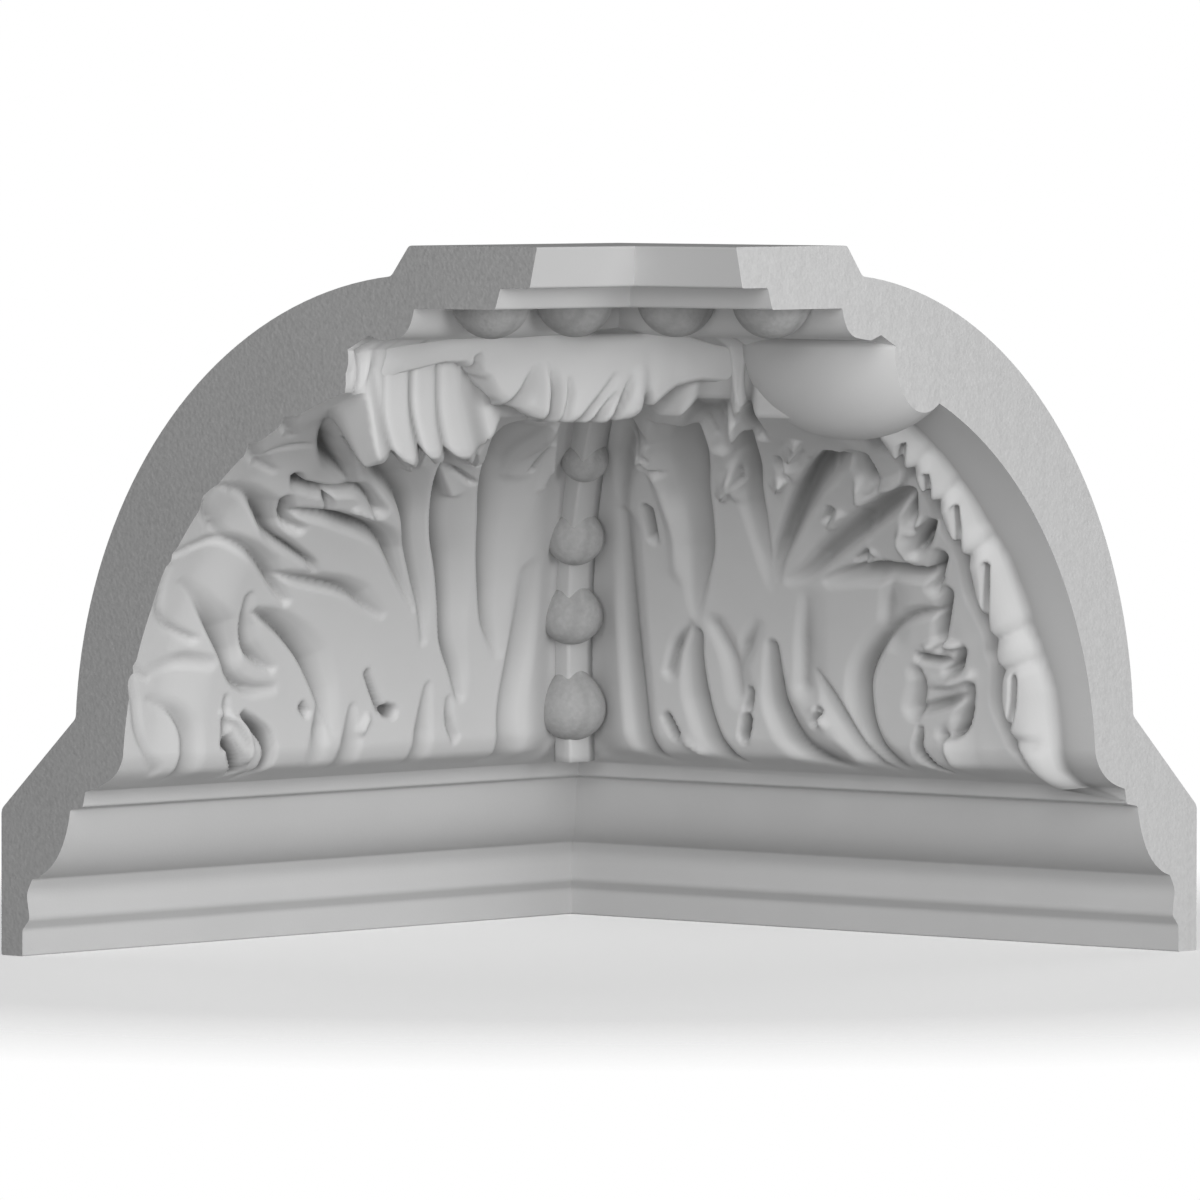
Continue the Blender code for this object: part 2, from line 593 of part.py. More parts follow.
def main():
    for thing in list(bpy.data.objects):
        bpy.data.objects.remove(thing, do_unlink=True)
    moulding = finish_mesh(swept_body(), "corner_moulding")
    moulding.data.materials.append(primed_foam())
    additions = [lobe("lobe_x", "x", LOBE_RUN_X), lobe("lobe_y", "y", LOBE_RUN_Y), hood("hood"),
                 bead_string("bead_string")]
    for wing in ("x", "y"):
        for count in range(BEAD_COUNT):
            run = SOFFIT_OUT - BEAD_LINE + BEAD_FIRST + BEAD_PITCH * count
            additions.append(bead("bead_%s_%d" % (wing, count + 1), wing, run))
    for tool in additions:
        use_tool(moulding, tool, "UNION")
    use_tool(moulding, saw("saw_x", "x", WING_X), "DIFFERENCE")
    use_tool(moulding, saw("saw_y", "y", WING_Y), "DIFFERENCE")


main()
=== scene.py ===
import math

import bmesh
import bpy
import numpy as np
from mathutils import Matrix, Vector


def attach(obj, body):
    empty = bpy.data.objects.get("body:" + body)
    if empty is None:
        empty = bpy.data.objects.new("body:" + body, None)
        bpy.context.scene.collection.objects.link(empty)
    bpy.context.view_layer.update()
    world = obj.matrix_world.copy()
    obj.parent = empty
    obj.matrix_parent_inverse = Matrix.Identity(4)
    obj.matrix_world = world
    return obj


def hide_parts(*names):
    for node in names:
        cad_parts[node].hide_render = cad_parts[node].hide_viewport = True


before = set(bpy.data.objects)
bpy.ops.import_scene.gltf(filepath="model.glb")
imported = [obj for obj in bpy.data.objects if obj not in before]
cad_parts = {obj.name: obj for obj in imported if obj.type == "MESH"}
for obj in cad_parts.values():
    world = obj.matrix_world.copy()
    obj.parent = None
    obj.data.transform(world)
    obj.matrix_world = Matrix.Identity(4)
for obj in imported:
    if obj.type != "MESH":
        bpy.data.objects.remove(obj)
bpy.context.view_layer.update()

# The moulding's sizes in millimetres: run is the distance along a wall from the corner, out the
# distance from the wall, and girth the distance up the curve of the cove from where it stands upright.
# A wing is the part along one wall; it has its length, its way and the number of its sawn end's finish.
MM = 0.001
PROJECTION = 305.0
HEIGHT = 305.0
WING = {"x": 366.0, "y": 360.0}
ALONG = {"x": (1.0, 0.0, 0.0), "y": (0.0, 1.0, 0.0)}
SAWN = {"x": 1, "y": 2}

LIP = 12.4
LIP_HEIGHT = 11.3
BASE_BAND_OUT = 16.7
BASE_BAND_HEIGHT = 16.0
BASE_BAND_WAIST = 1.9
BASE_BAND_COVE = 6.2
OVOLO_SEAT = 1.6
OVOLO_FOOT_HEIGHT = 33.2
OVOLO_WIDTH = 22.5
OVOLO_HEIGHT = 30.7
OVOLO_FLATNESS = 4.4
OVOLO_STEPS = 12
FILLET_STEP = 7.8
FILLET_HEIGHT = 7.8
FILLET_EASE = 0.9
FILLET_SEAT = (0.6, 1.2)
FOOT_BEND = (3.0, 3.5)
COVE_OVERHANG = 20.5
COVE_SPRING = 3.0
COVE_FOOT_ROUND = 13.0
COVE_FOOT_LENGTH = 16.0
COVE_LENGTH = 220.0

FASCIA_HEIGHT = 17.0
FASCIA_LEAN = 4.0
FASCIA_STEP = 16.0
DRIP_HEIGHT = 9.0
DRIP_LEAN = 3.0
SOFFIT_WIDTH = 44.7
RECESS_DEPTH = 12.4
RECESS_WIDTH = 9.5
RECESS_BEND = (2.0, 1.5)
RECESS_STEPS = 8
NOSE_WIDTH = 9.0
NOSE_DROP = 1.2
QUIRK_WIDTH = 6.5
QUIRK_RISE = 1.0
SHELF_WIDTH = 12.3
SHELF_FALL = 6.1
BAND_HEIGHT = 13.5
BAND_ROUND = 1.5
BAND_SWELL = 0.15
BAND_STEPS = 8

WALL_FLAT = 62.4
BACK_CHAMFER_RISE = 40.3
SHELL_FOOT = 25.5
BACK_SPRING = 17.8
CEILING_FLAT = 70.6
BACK_STEP_HEIGHT = 12.8
BACK_STEP_WIDTH = 10.0
BACK_STEPS = 40
# An arris takes at most this part of the faces beside it, is sharp below the least ease, and has lines that
# keep the faces flat a little way off
EASE_MOST = 0.4
EASE_LEAST = 0.05
EASE_FLAT = 1.25

BEAD_RADIUS = 16.7
BEAD_DROP = 12.9
BEAD_LINE = 32.0
BEAD_FIRST = 30.0
BEAD_PITCH = 52.3
BEAD_COUNT = 2
BEAD_FACES = {"Segments": 40, "Rings": 24}

LOBE_HALF_WIDTH = 55.0
LOBE_DROP = 39.0
LOBE_BULGE = 28.0
LOBE_CROWN = 9.0
LOBE_SEAT = 16.0
LOBE_RUN = {"x": 412.0, "y": 320.0}
NOTCH_RUN = {"x": 357.0, "y": 271.0}
NOTCH_HALF_WIDTH = 4.5
NOTCH_DEPTH = 9.0
LOBE_FACES = {"u_segments": 72, "v_segments": 44}

# The hood that covers the corner of the band: the line of its face as x and y from the corner of the
# walls, the line inside the body that it grows from, how far its lower edge lies below the top of the band
# by the distance along it, how far its top stands over the band by its out, the rows behind its top (how
# far in, at most what part of the way to the root, how far up), and the rows under its edge (what part of
# the way, how far up)
HOOD_LINE = ((353, 197), (330, 203), (312, 207), (296, 212), (280, 220), (264, 230), (250, 238), (236, 243),
             (222, 246), (210, 250), (202, 258), (198, 266))
HOOD_ROOT = ((353, 190), (330, 190), (312, 190), (296, 190), (280, 190), (262, 190), (243, 190), (222, 190),
             (200, 190), (190, 210), (187, 240), (187, 266))
HOOD_EDGE = ((0, 19.5), (8, 16.5), (20, 11), (43, 6.5), (54, 6.5), (57.5, 8.5), (60, 6), (63, 11.5),
             (67, 13.5), (72, 21), (78, 25), (82, 24.5), (90, 30), (98, 31.8), (120, 32.2), (131, 30.7),
             (136, 28.8), (139, 25.5), (144, 25), (148, 21.5), (153, 17.5), (162, 15), (173, 15.9))
HOOD_TOP = ((200, 1), (207, 4.5), (212, 7), (226, 7), (230, 5.3))
HOOD_LEAN = 0.2
HOOD_BULGE = 1.5
HOOD_LIP = 2.5
HOOD_THICKNESS = 5.0
HOOD_LIP_ROUND = 0.1
HOOD_BACK = ((16.0, 0.7, 4.0), (7.0, 0.5, 1.5), (HOOD_LIP, 0.3, 0.0))
HOOD_UNDER = ((0.6, 0.5), (0.65, 2.0))
HOOD_STEPS = 30
HOOD_FINER = 0.7
PLEATS_DEEPER = 1.3
# How much shade the primer paints into the pleats, as a share of their depth
PLEATS_PAINTED_SHADE = 0.3

# Beads of the string down the corner: girth of the middle, radius, half length. The section of the cord
# between them is given as beside and forward, in parts of its half width.
STRING_BEADS = ((22.7, 15.2, 14.0), (65.7, 13.9, 12.4), (105.6, 12.9, 11.9), (153.0, 10.6, 9.3))
STRING_BEAD_FACES = {"Segments": 48, "Rings": 32, "Radius": 1.0}
STRING_BEAD_SHAPE = {"Shoulder": 0.42, "Stretch": 1.4}
STRING_SECTION = ((-1.0, -0.1), (0.04, 0.86), (0.2, 0.95), (0.36, 0.88), (1.1, -0.2), (1.2, -0.9))
STRING_STEPS = 60
STRING_ARRIS = 0.9
STRING_NECK = 6.6
STRING_OFF_X = 13.5
STRING_OFF_Y = 6.5
STRING_BOW = 2.4
STRING_BOW_LOW = 0.85
STRING_SPREAD = 6.0
STRING_SINK = 1.5
STRING_FOOT = -1.0
STRING_TOP = 204.0

# Raised edge of the next leaf: run of its face towards the corner and of its foot, each by girth
EDGE_FACE = ((0, 330), (10, 326), (18, 321.5), (34, 317), (50, 319.5), (57, 318.5), (66, 319), (86, 316),
             (107, 318.5), (124, 316), (140, 318.5), (151, 315.5), (163, 318), (176, 315.5), (190, 319),
             (205, 322))
EDGE_FOOT = ((0, 342), (40, 341), (65, 336.5), (100, 335), (123, 332), (205, 330))
EDGE_HEIGHT = 12.0
EDGE_STEEP = 4.0
EDGE_ROUND = 2.2
EDGE_TOP = 205.0
EDGE_FINE = (308.0, 333.0)
EDGE_FINER = 1.9

# The leaf is thin at the foot and the margin and grows thicker towards its tips, which on one wing hang
# from the band like a drape
LEAF_THICKNESS = 8.0
LEAF_FOOT = -1.0
LEAF_FOOT_RISE = 7.0
LEAF_START = {"x": 18.0, "y": 6.0}
LEAF_SLOPE = 28.0
LEAF_MARGIN = {"x": 322.0, "y": 300.0}
LEAF_THIN = {"x": 2.0, "y": 2.5}
LEAF_TOP = 200.0
TIP_GROWTH = 0.9
TIP_START = 150.0
TIP_LENGTH = 70.0
TIP_OUT = 199.0
TIP_LEAST_LEAN = 0.2
DRAPE_RUN = (268.0, 354.0)
DRAPE_FADE = 10.0
DRAPE_FOOT = 204.0
DRAPE_DEPTH = 31.0
DRAPE_SWING = 4.0
DRAPE_PITCH = 3.6
CARVE_DEEPER = 1.45
CARVE_WIDER = 1.08
CARVE_FLOOR = 4.0
MITRE_FADE = 6.0
MITRE_GAP = 0.4
MITRE_ROUNDS = 20
SAWN_GAP = 0.03
HOLLOW_REACH = (4.0, 11.0)

GRAIN = 1.3
CURVE_STEPS = 6

# Strokes of the two carving tools. Each has its line as run and girth by turns, the reach of its bank on
# the left and on the right of the way, and its depth, or its height where that is below 0. A single number
# holds along the whole line, and several are spread evenly along it.
VEINER = "v"
GOUGE = "u"
VEINER_SHARPNESS = 1.5
STROKES = {}
STROKES["y"] = (
    # channels that rise beside the string and fan out towards the cut
    (VEINER, (114, 1, 109, 21, 110, 57, 118, 91, 129, 121), 9, (9, 12, 12), (5, 6, 5)),
    (GOUGE, (125, 115, 137, 140, 148, 160, 163, 177, 176, 190), (4, 6, 8), (4, 12, 12), (1, 8, 8)),
    (GOUGE, (152, 69, 162, 88, 173, 108, 181, 127, 189, 146, 199, 163, 209, 180, 217, 197),
     (4, 17, 22, 23, 18), (3, 5, 6, 7, 9), (0, 5, 7, 8, 9)),
    (VEINER, (150, 95, 159, 115, 165, 139, 170, 163), (5, 7, 5), (14, 16, 12), (-1, -3, -2)),
    (GOUGE, (202, 84, 207, 106, 213, 125, 220, 145, 230, 164, 241, 184, 251, 200), (5, 10, 12, 10),
     (2, 4, 6, 7), (0, 4, 7, 8)),
    # dark hollow under the band, and the strands beside it
    (GOUGE, (221, 176, 229, 193, 241, 211, 258, 230), (6, 12, 13), (8, 11, 11), (3, 9, 11)),
    (VEINER, (223, 183, 227, 196, 233, 208), 3, 4, (4, 6, 3)),
    (VEINER, (246, 188, 252, 202, 259, 218), 4, 4, (-2, -6, -5)),
    (VEINER, (257, 192, 265, 208, 275, 230), (4, 6), (4, 6), (3, 8, 9)),
    (VEINER, (171, 166, 170, 176, 174, 187), 3, 5, (3, 6, 6)),
    (VEINER, (160, 157, 165, 163, 171, 169), 6, 3, (-2, -4, -2)),
    (VEINER, (200, 139, 205, 145, 210, 151), 6, 3, (-3, -5, -2)),
    (VEINER, (235, 146, 241, 152, 246, 159), 6, 3, (-3, -5, -2)),
    (VEINER, (258, 171, 266, 180, 275, 190), (6, 5), 3, (-3, -5, -2)),
    (GOUGE, (204, 88, 211, 101, 223, 116, 240, 135, 260, 154, 283, 172), (3, 5, 6, 7), (3, 5, 8, 9),
     (0, 5, 7, 8)),
    (GOUGE, (210, 89, 226, 95, 244, 106, 263, 117, 283, 129, 301, 139), (4, 8, 11, 11), (3, 4, 4, 4),
     (0, 5, 6, 6)),
    (GOUGE, (236, 91, 252, 96, 274, 99, 298, 97), (4, 5, 3), (5, 9, 6), (1, 6, 5)),
    (VEINER, (253, 4, 243, 14, 239, 26, 241, 43, 250, 56, 264, 68, 279, 75, 296, 77), (10, 10, 8, 4),
     (8, 7, 4, 3), (4, 8, 6, 4, 3)),
    (VEINER, (246, 1, 232, 16, 222, 33, 215, 45), (9, 9, 6), (5, 5, 4), (4, 5, 2)),
    # roots of the leaf
    (VEINER, (159, 1, 150, 16, 146, 32, 147, 49, 151, 61), (9, 10, 6), (7, 7, 4), (5, 7, 4)),
    (VEINER, (130, 44, 137, 56, 148, 66), 3, (7, 5), (3, 4, 1)),
    (VEINER, (169, 34, 168, 50, 163, 66), (8, 6), (10, 8), (2, 3, 2)),
    (VEINER, (170, 46, 178, 57, 190, 71), 5, (7, 5), (2, 3, 0)),
    (VEINER, (219, 1, 200, 12, 190, 27, 190, 42, 193, 57), (10, 8, 4), (13, 11, 4), (6, 7, 4)),
    (VEINER, (206, 40, 211, 60, 219, 80), 5, (14, 12), (3, 3, 1)),
    (VEINER, (259, 68, 265, 81, 273, 95), (4, 5), (14, 12), (3, 3, 1)),
    # eyes where two lobes meet, and the knobs over them
    (GOUGE, (159, 160, 167, 157, 175, 149), 3, 4, (3, 4, 1)),
    (VEINER, (170, 169, 178, 177), 3, (9, 6), (-3, -2)),
    (VEINER, (207, 141, 212, 153, 222, 164), (4, 3), (12, 10), (-2, -4, -1)),
    (VEINER, (214, 148, 220, 160), (5, 3), 3, (5, 5, 2)),
    (VEINER, (245, 155, 253, 169), 3, (9, 7), (-2, -4, -1)),
    (VEINER, (244, 154, 250, 169), (4, 3), 3, (5, 5, 2)),
    (VEINER, (251, 124, 260, 130), 3, (6, 4), (-3, -2)),
    (VEINER, (250, 125, 256, 132), 3, 3, (4, 3)),
    (GOUGE, (259, 103, 265, 107), 3, 3, 5),
    (VEINER, (262, 104, 267, 108), 3, 5, (-3, -2)),
    (VEINER, (144, 111, 150, 129), 3, 4, 5),
    (VEINER, (173, 28, 175, 35), 3, 3.5, (7, 6)),
    (GOUGE, (170, 15, 172, 22), 3.5, 3.5, 8),
    (GOUGE, (126, 21, 130, 14), 3, 3, 6),
    (VEINER, (136, 10, 143, 5), 4, 3, -2),
    (GOUGE, (210, 22, 213, 27), 3, 3, 5),
    (VEINER, (212, 27, 216, 21), 3, 4, (-3, -2)),
    # folds beside the margin
    (VEINER, (270, 30, 274, 41, 273, 47), (9, 7), 3, (5, 5, 3)),
    (GOUGE, (280, 43, 291, 44, 302, 47), 4, 4, (-1, -3, -2)),
    (GOUGE, (273, 31, 285, 34, 296, 37), 3, 4, (3, 4, 2)),
    (GOUGE, (281, 60, 289, 62, 298, 61), 3, 3, (-2, -3, -2)),
    (GOUGE, (275, 55, 283, 54, 291, 54), 2.5, 3, (4, 4, 2)),
    (VEINER, (287, 107, 287, 116, 291, 123), 3, 9, (-3, -4, -2)),
    (VEINER, (295, 122, 303, 127), 3, 5, -3),
    (VEINER, (277, 141, 282, 150), 3, 9, -4),
    (GOUGE, (286, 146, 298, 150, 310, 155), 4, 4, (-2, -3, -2)),
    (VEINER, (287, 7, 286, 18), 2, 15, -4),
    # dark scallops of the margin
    (VEINER, (283, 18, 293, 21, 298, 29, 301, 41), (6, 8, 5), 2.5, (3, 9, 9, 4)),
    (VEINER, (290, 48, 296, 51, 300, 58), 5, 2.5, (3, 8, 4)),
    (VEINER, (289, 61, 294, 72, 301, 86), (6, 7), 2.5, (5, 9, 5)),
    (VEINER, (294, 88, 299, 96, 305, 105), (6, 7), 2.5, (5, 9, 5)),
    (VEINER, (292, 108, 299, 113, 307, 123), (5, 7), 2.5, (4, 9, 5)),
    (VEINER, (297, 123, 301, 131, 307, 143), (6, 7), 2.5, (5, 9, 6)),
    (VEINER, (289, 146, 294, 157, 299, 172), (9, 11), 3, (5, 10, 9)),
    (GOUGE, (275, 2, 268, 11, 270, 21), (2, 3, 2), (3, 4, 2), (7, 8, 3)),
)
STROKES["x"] = (
    # channels that rise beside the string and fan out towards the cut
    (GOUGE, (127, 1, 131, 22, 131, 50, 134, 72, 140, 92), (14, 14, 12), 6, (3, 3, 1)),
    (VEINER, (143, 53, 154, 66, 165, 86, 176, 106, 188, 127, 201, 146, 213, 164, 226, 182, 239, 198,
     248, 212), (7, 16, 24, 32, 30, 9), (4, 4, 5, 5, 4), (1, 6, 8, 9, 9, 6)),
    (VEINER, (187, 150, 194, 165, 201, 185, 208, 201), (14, 18), (4, 5), (-2, -4, -4)),
    (VEINER, (163, 33, 169, 45, 179, 60, 187, 78, 198, 97, 212, 116, 224, 135, 235, 152, 245, 169, 254, 182,
     263, 194), (6, 13, 17, 19, 16, 5), (3, 4, 4, 4, 3), (2, 7, 9, 9, 9, 6)),
    (VEINER, (193, 60, 201, 77, 213, 94, 226, 111, 238, 128, 251, 138, 272, 151, 291, 167, 308, 182,
     327, 191), (3, 8, 15, 19, 17, 6), (3, 4, 5, 6, 4), (1, 5, 8, 9, 9, 6)),
    # fine lines between the strand tips under the band
    (VEINER, (352, 236, 343, 226, 333, 218), 5, 4, (5, 7, 4)),
    (VEINER, (342, 234, 341, 226, 328, 213, 315, 200, 303, 190), 3, 3, (4, 5, 4)),
    (VEINER, (325, 234, 324, 226, 310, 213, 296, 201), 3, 4, (4, 5, 4)),
    (VEINER, (309, 234, 307, 225, 293, 211, 280, 198), 3, 6, (3, 4, 3)),
    (VEINER, (300, 210, 290, 201, 281, 191), 3, 3, (3, 5, 5)),
    (VEINER, (282, 191, 270, 188, 260, 180), 2.5, 4.5, (6, 8, 5)),
    (VEINER, (334, 232, 326, 222, 312, 208), 5, 5, (-1, -2, -1)),
    (GOUGE, (290, 232, 276, 218, 264, 206), 7, 7, (3, 4, 2)),
    (VEINER, (206, 77, 224, 94, 237, 107, 249, 115, 262, 120, 276, 124, 290, 128, 312, 132),
     (4, 9, 8, 7, 5), (3, 4, 3), (1, 6, 7, 7, 3)),
    (VEINER, (226, 74, 238, 79, 248, 84, 260, 88, 275, 91, 290, 94, 302, 97), (5, 9, 8, 7, 4), 2.5,
     (1, 4, 5, 4, 2)),
    (VEINER, (243, 20, 250, 32, 258, 43, 266, 52, 275, 60, 287, 68, 298, 74, 306, 78),
     (6, 12, 14, 12, 9, 4), (4, 3, 3), (1, 4, 6, 6, 5, 2)),
    (VEINER, (278, 97, 285, 103, 300, 110, 314, 116, 322, 121, 331, 129, 341, 137, 352, 142, 363, 145),
     (3, 3, 5, 11, 12, 7, 3), (2.5, 3, 3), (2, 5, 6, 8, 8, 7, 3)),
    (VEINER, (290, 83, 298, 89, 308, 97, 319, 105, 330, 111, 343, 114, 355, 111, 366, 106), (4, 9, 6, 4), 3,
     (2, 5, 4, 5, 3)),
    (VEINER, (287, 50, 296, 54, 304, 59, 309, 66, 313, 75, 315, 86), (4, 8, 9, 4), 2.5, (2, 5, 6, 5, 2)),
    (VEINER, (284, 41, 297, 41, 306, 44, 313, 50, 318, 57, 325, 65, 334, 75, 344, 85, 354, 92),
     (4, 5, 6, 12, 13, 8, 3), (4, 3, 3), (1, 4, 5, 6, 6, 4, 2)),
    (VEINER, (337, 65, 346, 68, 355, 72, 361, 78, 364, 88, 366, 99), (3, 3, 4), (3, 4), (3, 6, 7, 5, 3)),
    (VEINER, (332, 0, 332, 14, 334, 24, 341, 32, 354, 37), (11, 9, 4), 2.5, (5, 5, 5, 3)),
    (GOUGE, (344, 6, 352, 15, 358, 24, 362, 36, 367, 47), (4, 3), 3, (4, 6, 6)),
    (VEINER, (357, 47, 362, 49, 368, 54), 2.5, 2.5, (3, 5, 4)),
    # roots and stalks of the leaf
    (VEINER, (310, 16, 311, 26, 312, 38), (4, 4, 2), 2, (4, 5, 2)),
    (GOUGE, (282, 0, 281, 10, 284, 18, 291, 24, 299, 29), (5, 5, 3), (4, 4, 3), (9, 9, 7, 3)),
    (GOUGE, (295, 4, 300, 9, 305, 15, 307, 19), (3.5, 4, 3), (3.5, 4, 3), (8, 10, 8, 3)),
    (GOUGE, (296, 3, 295, 15, 302, 26, 313, 31), 3, 3, (-2, -3, -1)),
    (VEINER, (213, 29, 218, 36, 225, 46), 2.5, 2.5, (6, 5, 3)),
    (GOUGE, (205, 27, 209, 28), 3.5, 3.5, 8),
    (VEINER, (221, 25, 224, 19), 3, 3, -2),
    (VEINER, (161, 145, 168, 158, 180, 175), (4, 3), (7, 5), (-3, -6, -4)),
    (VEINER, (178, 154, 181, 162, 184, 171), 2, 2, (4, 5, 4)),
    (VEINER, (226, 163, 233, 172, 241, 181), (9, 7), 3, (-3, -5, -3)),
    (GOUGE, (219, 163, 226, 162, 232, 165), 2.5, 2.5, (5, 6, 4)),
    (GOUGE, (260, 29, 263, 32), 2.5, 2.5, 4),
    (GOUGE, (184, 2, 184, 18, 184, 38), (9, 7, 3), (7, 6, 3), (2, 3, 1)),
    (GOUGE, (231, 0, 230, 14, 231, 30), (10, 8, 3), (9, 7, 3), (2, 3, 1)),
    (GOUGE, (250, 10, 250, 22, 252, 36), (8, 6, 3), (8, 6, 3), (1, 3, 1)),
    (GOUGE, (163, 14, 167, 21, 169, 31), (4, 3), 3, (2, 3, 1)),
    # eyes where two lobes meet, and the knobs over them
    (VEINER, (216, 137, 229, 149, 243, 164), (8, 6), 3, (-3, -4, -2)),
    (GOUGE, (211, 147, 222, 152, 232, 155), 2.5, 2.5, (3, 5, 4)),
    (VEINER, (241, 175, 251, 186, 264, 202), 12, 3, (-3, -4, -4)),
    (VEINER, (262, 159, 272, 174, 284, 189), (8, 6), 3, (-3, -4, -2)),
    (GOUGE, (255, 156, 264, 166, 272, 179), 2.5, 3, (2, 5, 4)),
    (VEINER, (264, 130, 276, 133), 3, 3, (-3, -2)),
    (GOUGE, (161, 147, 164, 154), 3, 3, 4),
    # folds beside the cut
    (VEINER, (258, 129, 268, 137, 280, 143, 292, 144, 304, 144, 316, 147, 324, 150, 329, 156),
     (7, 7, 8, 7, 6, 5, 3), (2.5, 2.5, 3), (5, 6, 6, 6, 7, 10, 5)),
    (VEINER, (291, 131, 296, 138, 302, 143), 3, 2, (3, 6, 4)),
    (VEINER, (302, 121, 311, 124, 317, 129, 321, 134, 325, 140), (5, 7, 5), 2.5, (2, 7, 9, 4)),
    (VEINER, (342, 115, 350, 120, 358, 125, 364, 132, 368, 142), (4, 6, 5), 3, (3, 7, 8, 7)),
    (VEINER, (341, 156, 350, 159, 358, 163, 364, 168, 368, 173), (3, 6, 5), 3, (2, 6, 8, 7)),
    (VEINER, (350, 181, 358, 186, 364, 191, 368, 197), (3, 5, 5), 3, (3, 7, 8)),
    (VEINER, (338, 178, 345, 173, 353, 168), 2.5, 3, (1, 4, 2)),
    (VEINER, (289, 149, 303, 158, 314, 164, 325, 172, 335, 183, 344, 196), (3, 7, 10, 11, 8), 3,
     (3, 7, 9, 9, 5)),
    (GOUGE, (326, 54, 340, 55, 356, 50), 5, 4, (1, 3, 1)),
)
# Slits between the rim and the body of the raised edge, and the joints of its scallops
STROKES["edge"] = (
    (GOUGE, (322, 24, 325, 34, 327.5, 47), 1.8, 2.2, (2, 7, 7)),
    (GOUGE, (319.5, 70, 322, 82, 325.5, 94, 328, 103), 1.8, 2.2, (2, 7, 7)),
    (GOUGE, (319.5, 112, 323, 123, 326.5, 136), 1.8, 2.2, (2, 7, 7)),
    (GOUGE, (318.5, 144, 321.5, 151, 324.5, 159), 1.8, 2.2, (2, 7, 6)),
    (GOUGE, (319, 170, 322, 176, 325, 181), 2, 2.4, (3, 8, 5)),
    (VEINER, (317, 21, 323, 19, 333, 17), (3, 5), (5, 7), (4, 3, 2)),
    (VEINER, (316, 50, 323, 51, 334, 54), (3, 5), (4, 6), (4, 3, 2)),
    (VEINER, (316, 64, 323, 66, 334, 70), (4, 6), (6, 8), (4, 3, 2)),
    (VEINER, (315, 106, 321, 108, 331, 114), (3, 5), (4, 6), (5, 4, 2)),
    (VEINER, (315, 139, 321, 141, 329, 146), (3, 5), (4, 6), (5, 4, 2)),
    (VEINER, (315, 161, 321, 164, 328, 169), (3, 5), (4, 6), (5, 4, 2)),
)
# Pleats of the hood, each line as distance along the hood and drop from its top
STROKES["hood"] = (
    (VEINER, (58.5, 10, 60, 15, 62, 20), 2, 3, (3, 8, 8)),
    (VEINER, (84, 16, 82.5, 24, 79, 31), (3, 4), (5, 6), (1, 5, 8)),
    (VEINER, (93, 17, 95.5, 25, 97, 38), 4, 3, (1, 5, 8)),
    (VEINER, (100.3, 19, 101.9, 27, 101.4, 38), 1.6, 1.6, (1, 4, 5)),
    (VEINER, (120.6, 18, 115, 28, 108.6, 38), (2.5, 3), (2.5, 4), (1, 4, 7)),
    (VEINER, (123, 24, 119, 31, 116, 38), 3, 3, (0, 4, 9)),
    (VEINER, (129, 19, 127, 27, 124.5, 38), 3, 2, (1, 5, 7)),
    (VEINER, (139, 24, 140, 33), 4, 3, (1, 7, 9)),
    (GOUGE, (88, 14, 90, 24, 91.5, 38), 4, 4, (-1, -2, -2)),
    (GOUGE, (106, 22, 104.5, 38), 6, 8, (0, -1)),
    (GOUGE, (133, 18, 132.5, 38), 6, 6, (-1, -2, -1)),
)

# Levels and lines that follow from the sizes above
OVOLO_FOOT_OUT = BASE_BAND_OUT + OVOLO_SEAT
OVOLO_OUT = OVOLO_FOOT_OUT + OVOLO_WIDTH
OVOLO_TOP = OVOLO_FOOT_HEIGHT + OVOLO_HEIGHT
FILLET_OUT = OVOLO_OUT + FILLET_STEP
FILLET_TOP = OVOLO_TOP + FILLET_HEIGHT
COVE_OUT = FILLET_OUT + COVE_OVERHANG
COVE_BASE = FILLET_TOP + COVE_SPRING
FASCIA_OUT = PROJECTION - FASCIA_LEAN
FASCIA_FOOT = HEIGHT - FASCIA_HEIGHT
DRIP_OUT = FASCIA_OUT - FASCIA_STEP
SOFFIT_OUT = DRIP_OUT - DRIP_LEAN
SOFFIT = FASCIA_FOOT - DRIP_HEIGHT
RECESS_OUT = SOFFIT_OUT - SOFFIT_WIDTH
NOSE_OUT = RECESS_OUT - RECESS_WIDTH
NOSE_HEIGHT = SOFFIT - RECESS_DEPTH
QUIRK_OUT = NOSE_OUT - NOSE_WIDTH - QUIRK_WIDTH
QUIRK_HEIGHT = NOSE_HEIGHT + QUIRK_RISE
BAND_OUT = QUIRK_OUT - SHELF_WIDTH
BAND_TOP = QUIRK_HEIGHT - SHELF_FALL
BAND_FOOT = BAND_TOP - BAND_HEIGHT
HALF_ROOT = math.sqrt(0.5)


def upright_arc(foot, top):
    """Centre and radius of the arc that leaves foot upright and passes through top."""
    across = top[0] - foot[0]
    rise = top[1] - foot[1]
    radius = (across * across + rise * rise) / (2.0 * across)
    return foot[0] + radius, foot[1], radius


COVE_CENTRE_OUT, COVE_CENTRE_HEIGHT, COVE_RADIUS = upright_arc((COVE_OUT, COVE_BASE), (BAND_OUT, BAND_FOOT))
COVE_FIRST = math.asin(COVE_FOOT_ROUND / COVE_RADIUS)


def bezier(points, share):
    """Point of a Bezier curve."""
    points = [np.asarray(p, float) for p in points]
    while len(points) > 1:
        points = [a + (b - a) * share for a, b in zip(points, points[1:])]
    return points[0]


def smooth(value):
    """Smooth step from 0 to 1."""
    value = np.clip(value, 0.0, 1.0)
    return value * value * (3.0 - 2.0 * value)


def bump(value):
    """Round hump of height 1 at 0 that ends at -1 and 1."""
    return np.clip(1.0 - value * value, 0.0, None) ** 2


def corner_place(x, y, height):
    """World place, in metres, of a point given in millimetres from the corner of the walls."""
    return ((x - WING["x"] / 2.0) * MM, (y - WING["y"] / 2.0) * MM, height * MM)


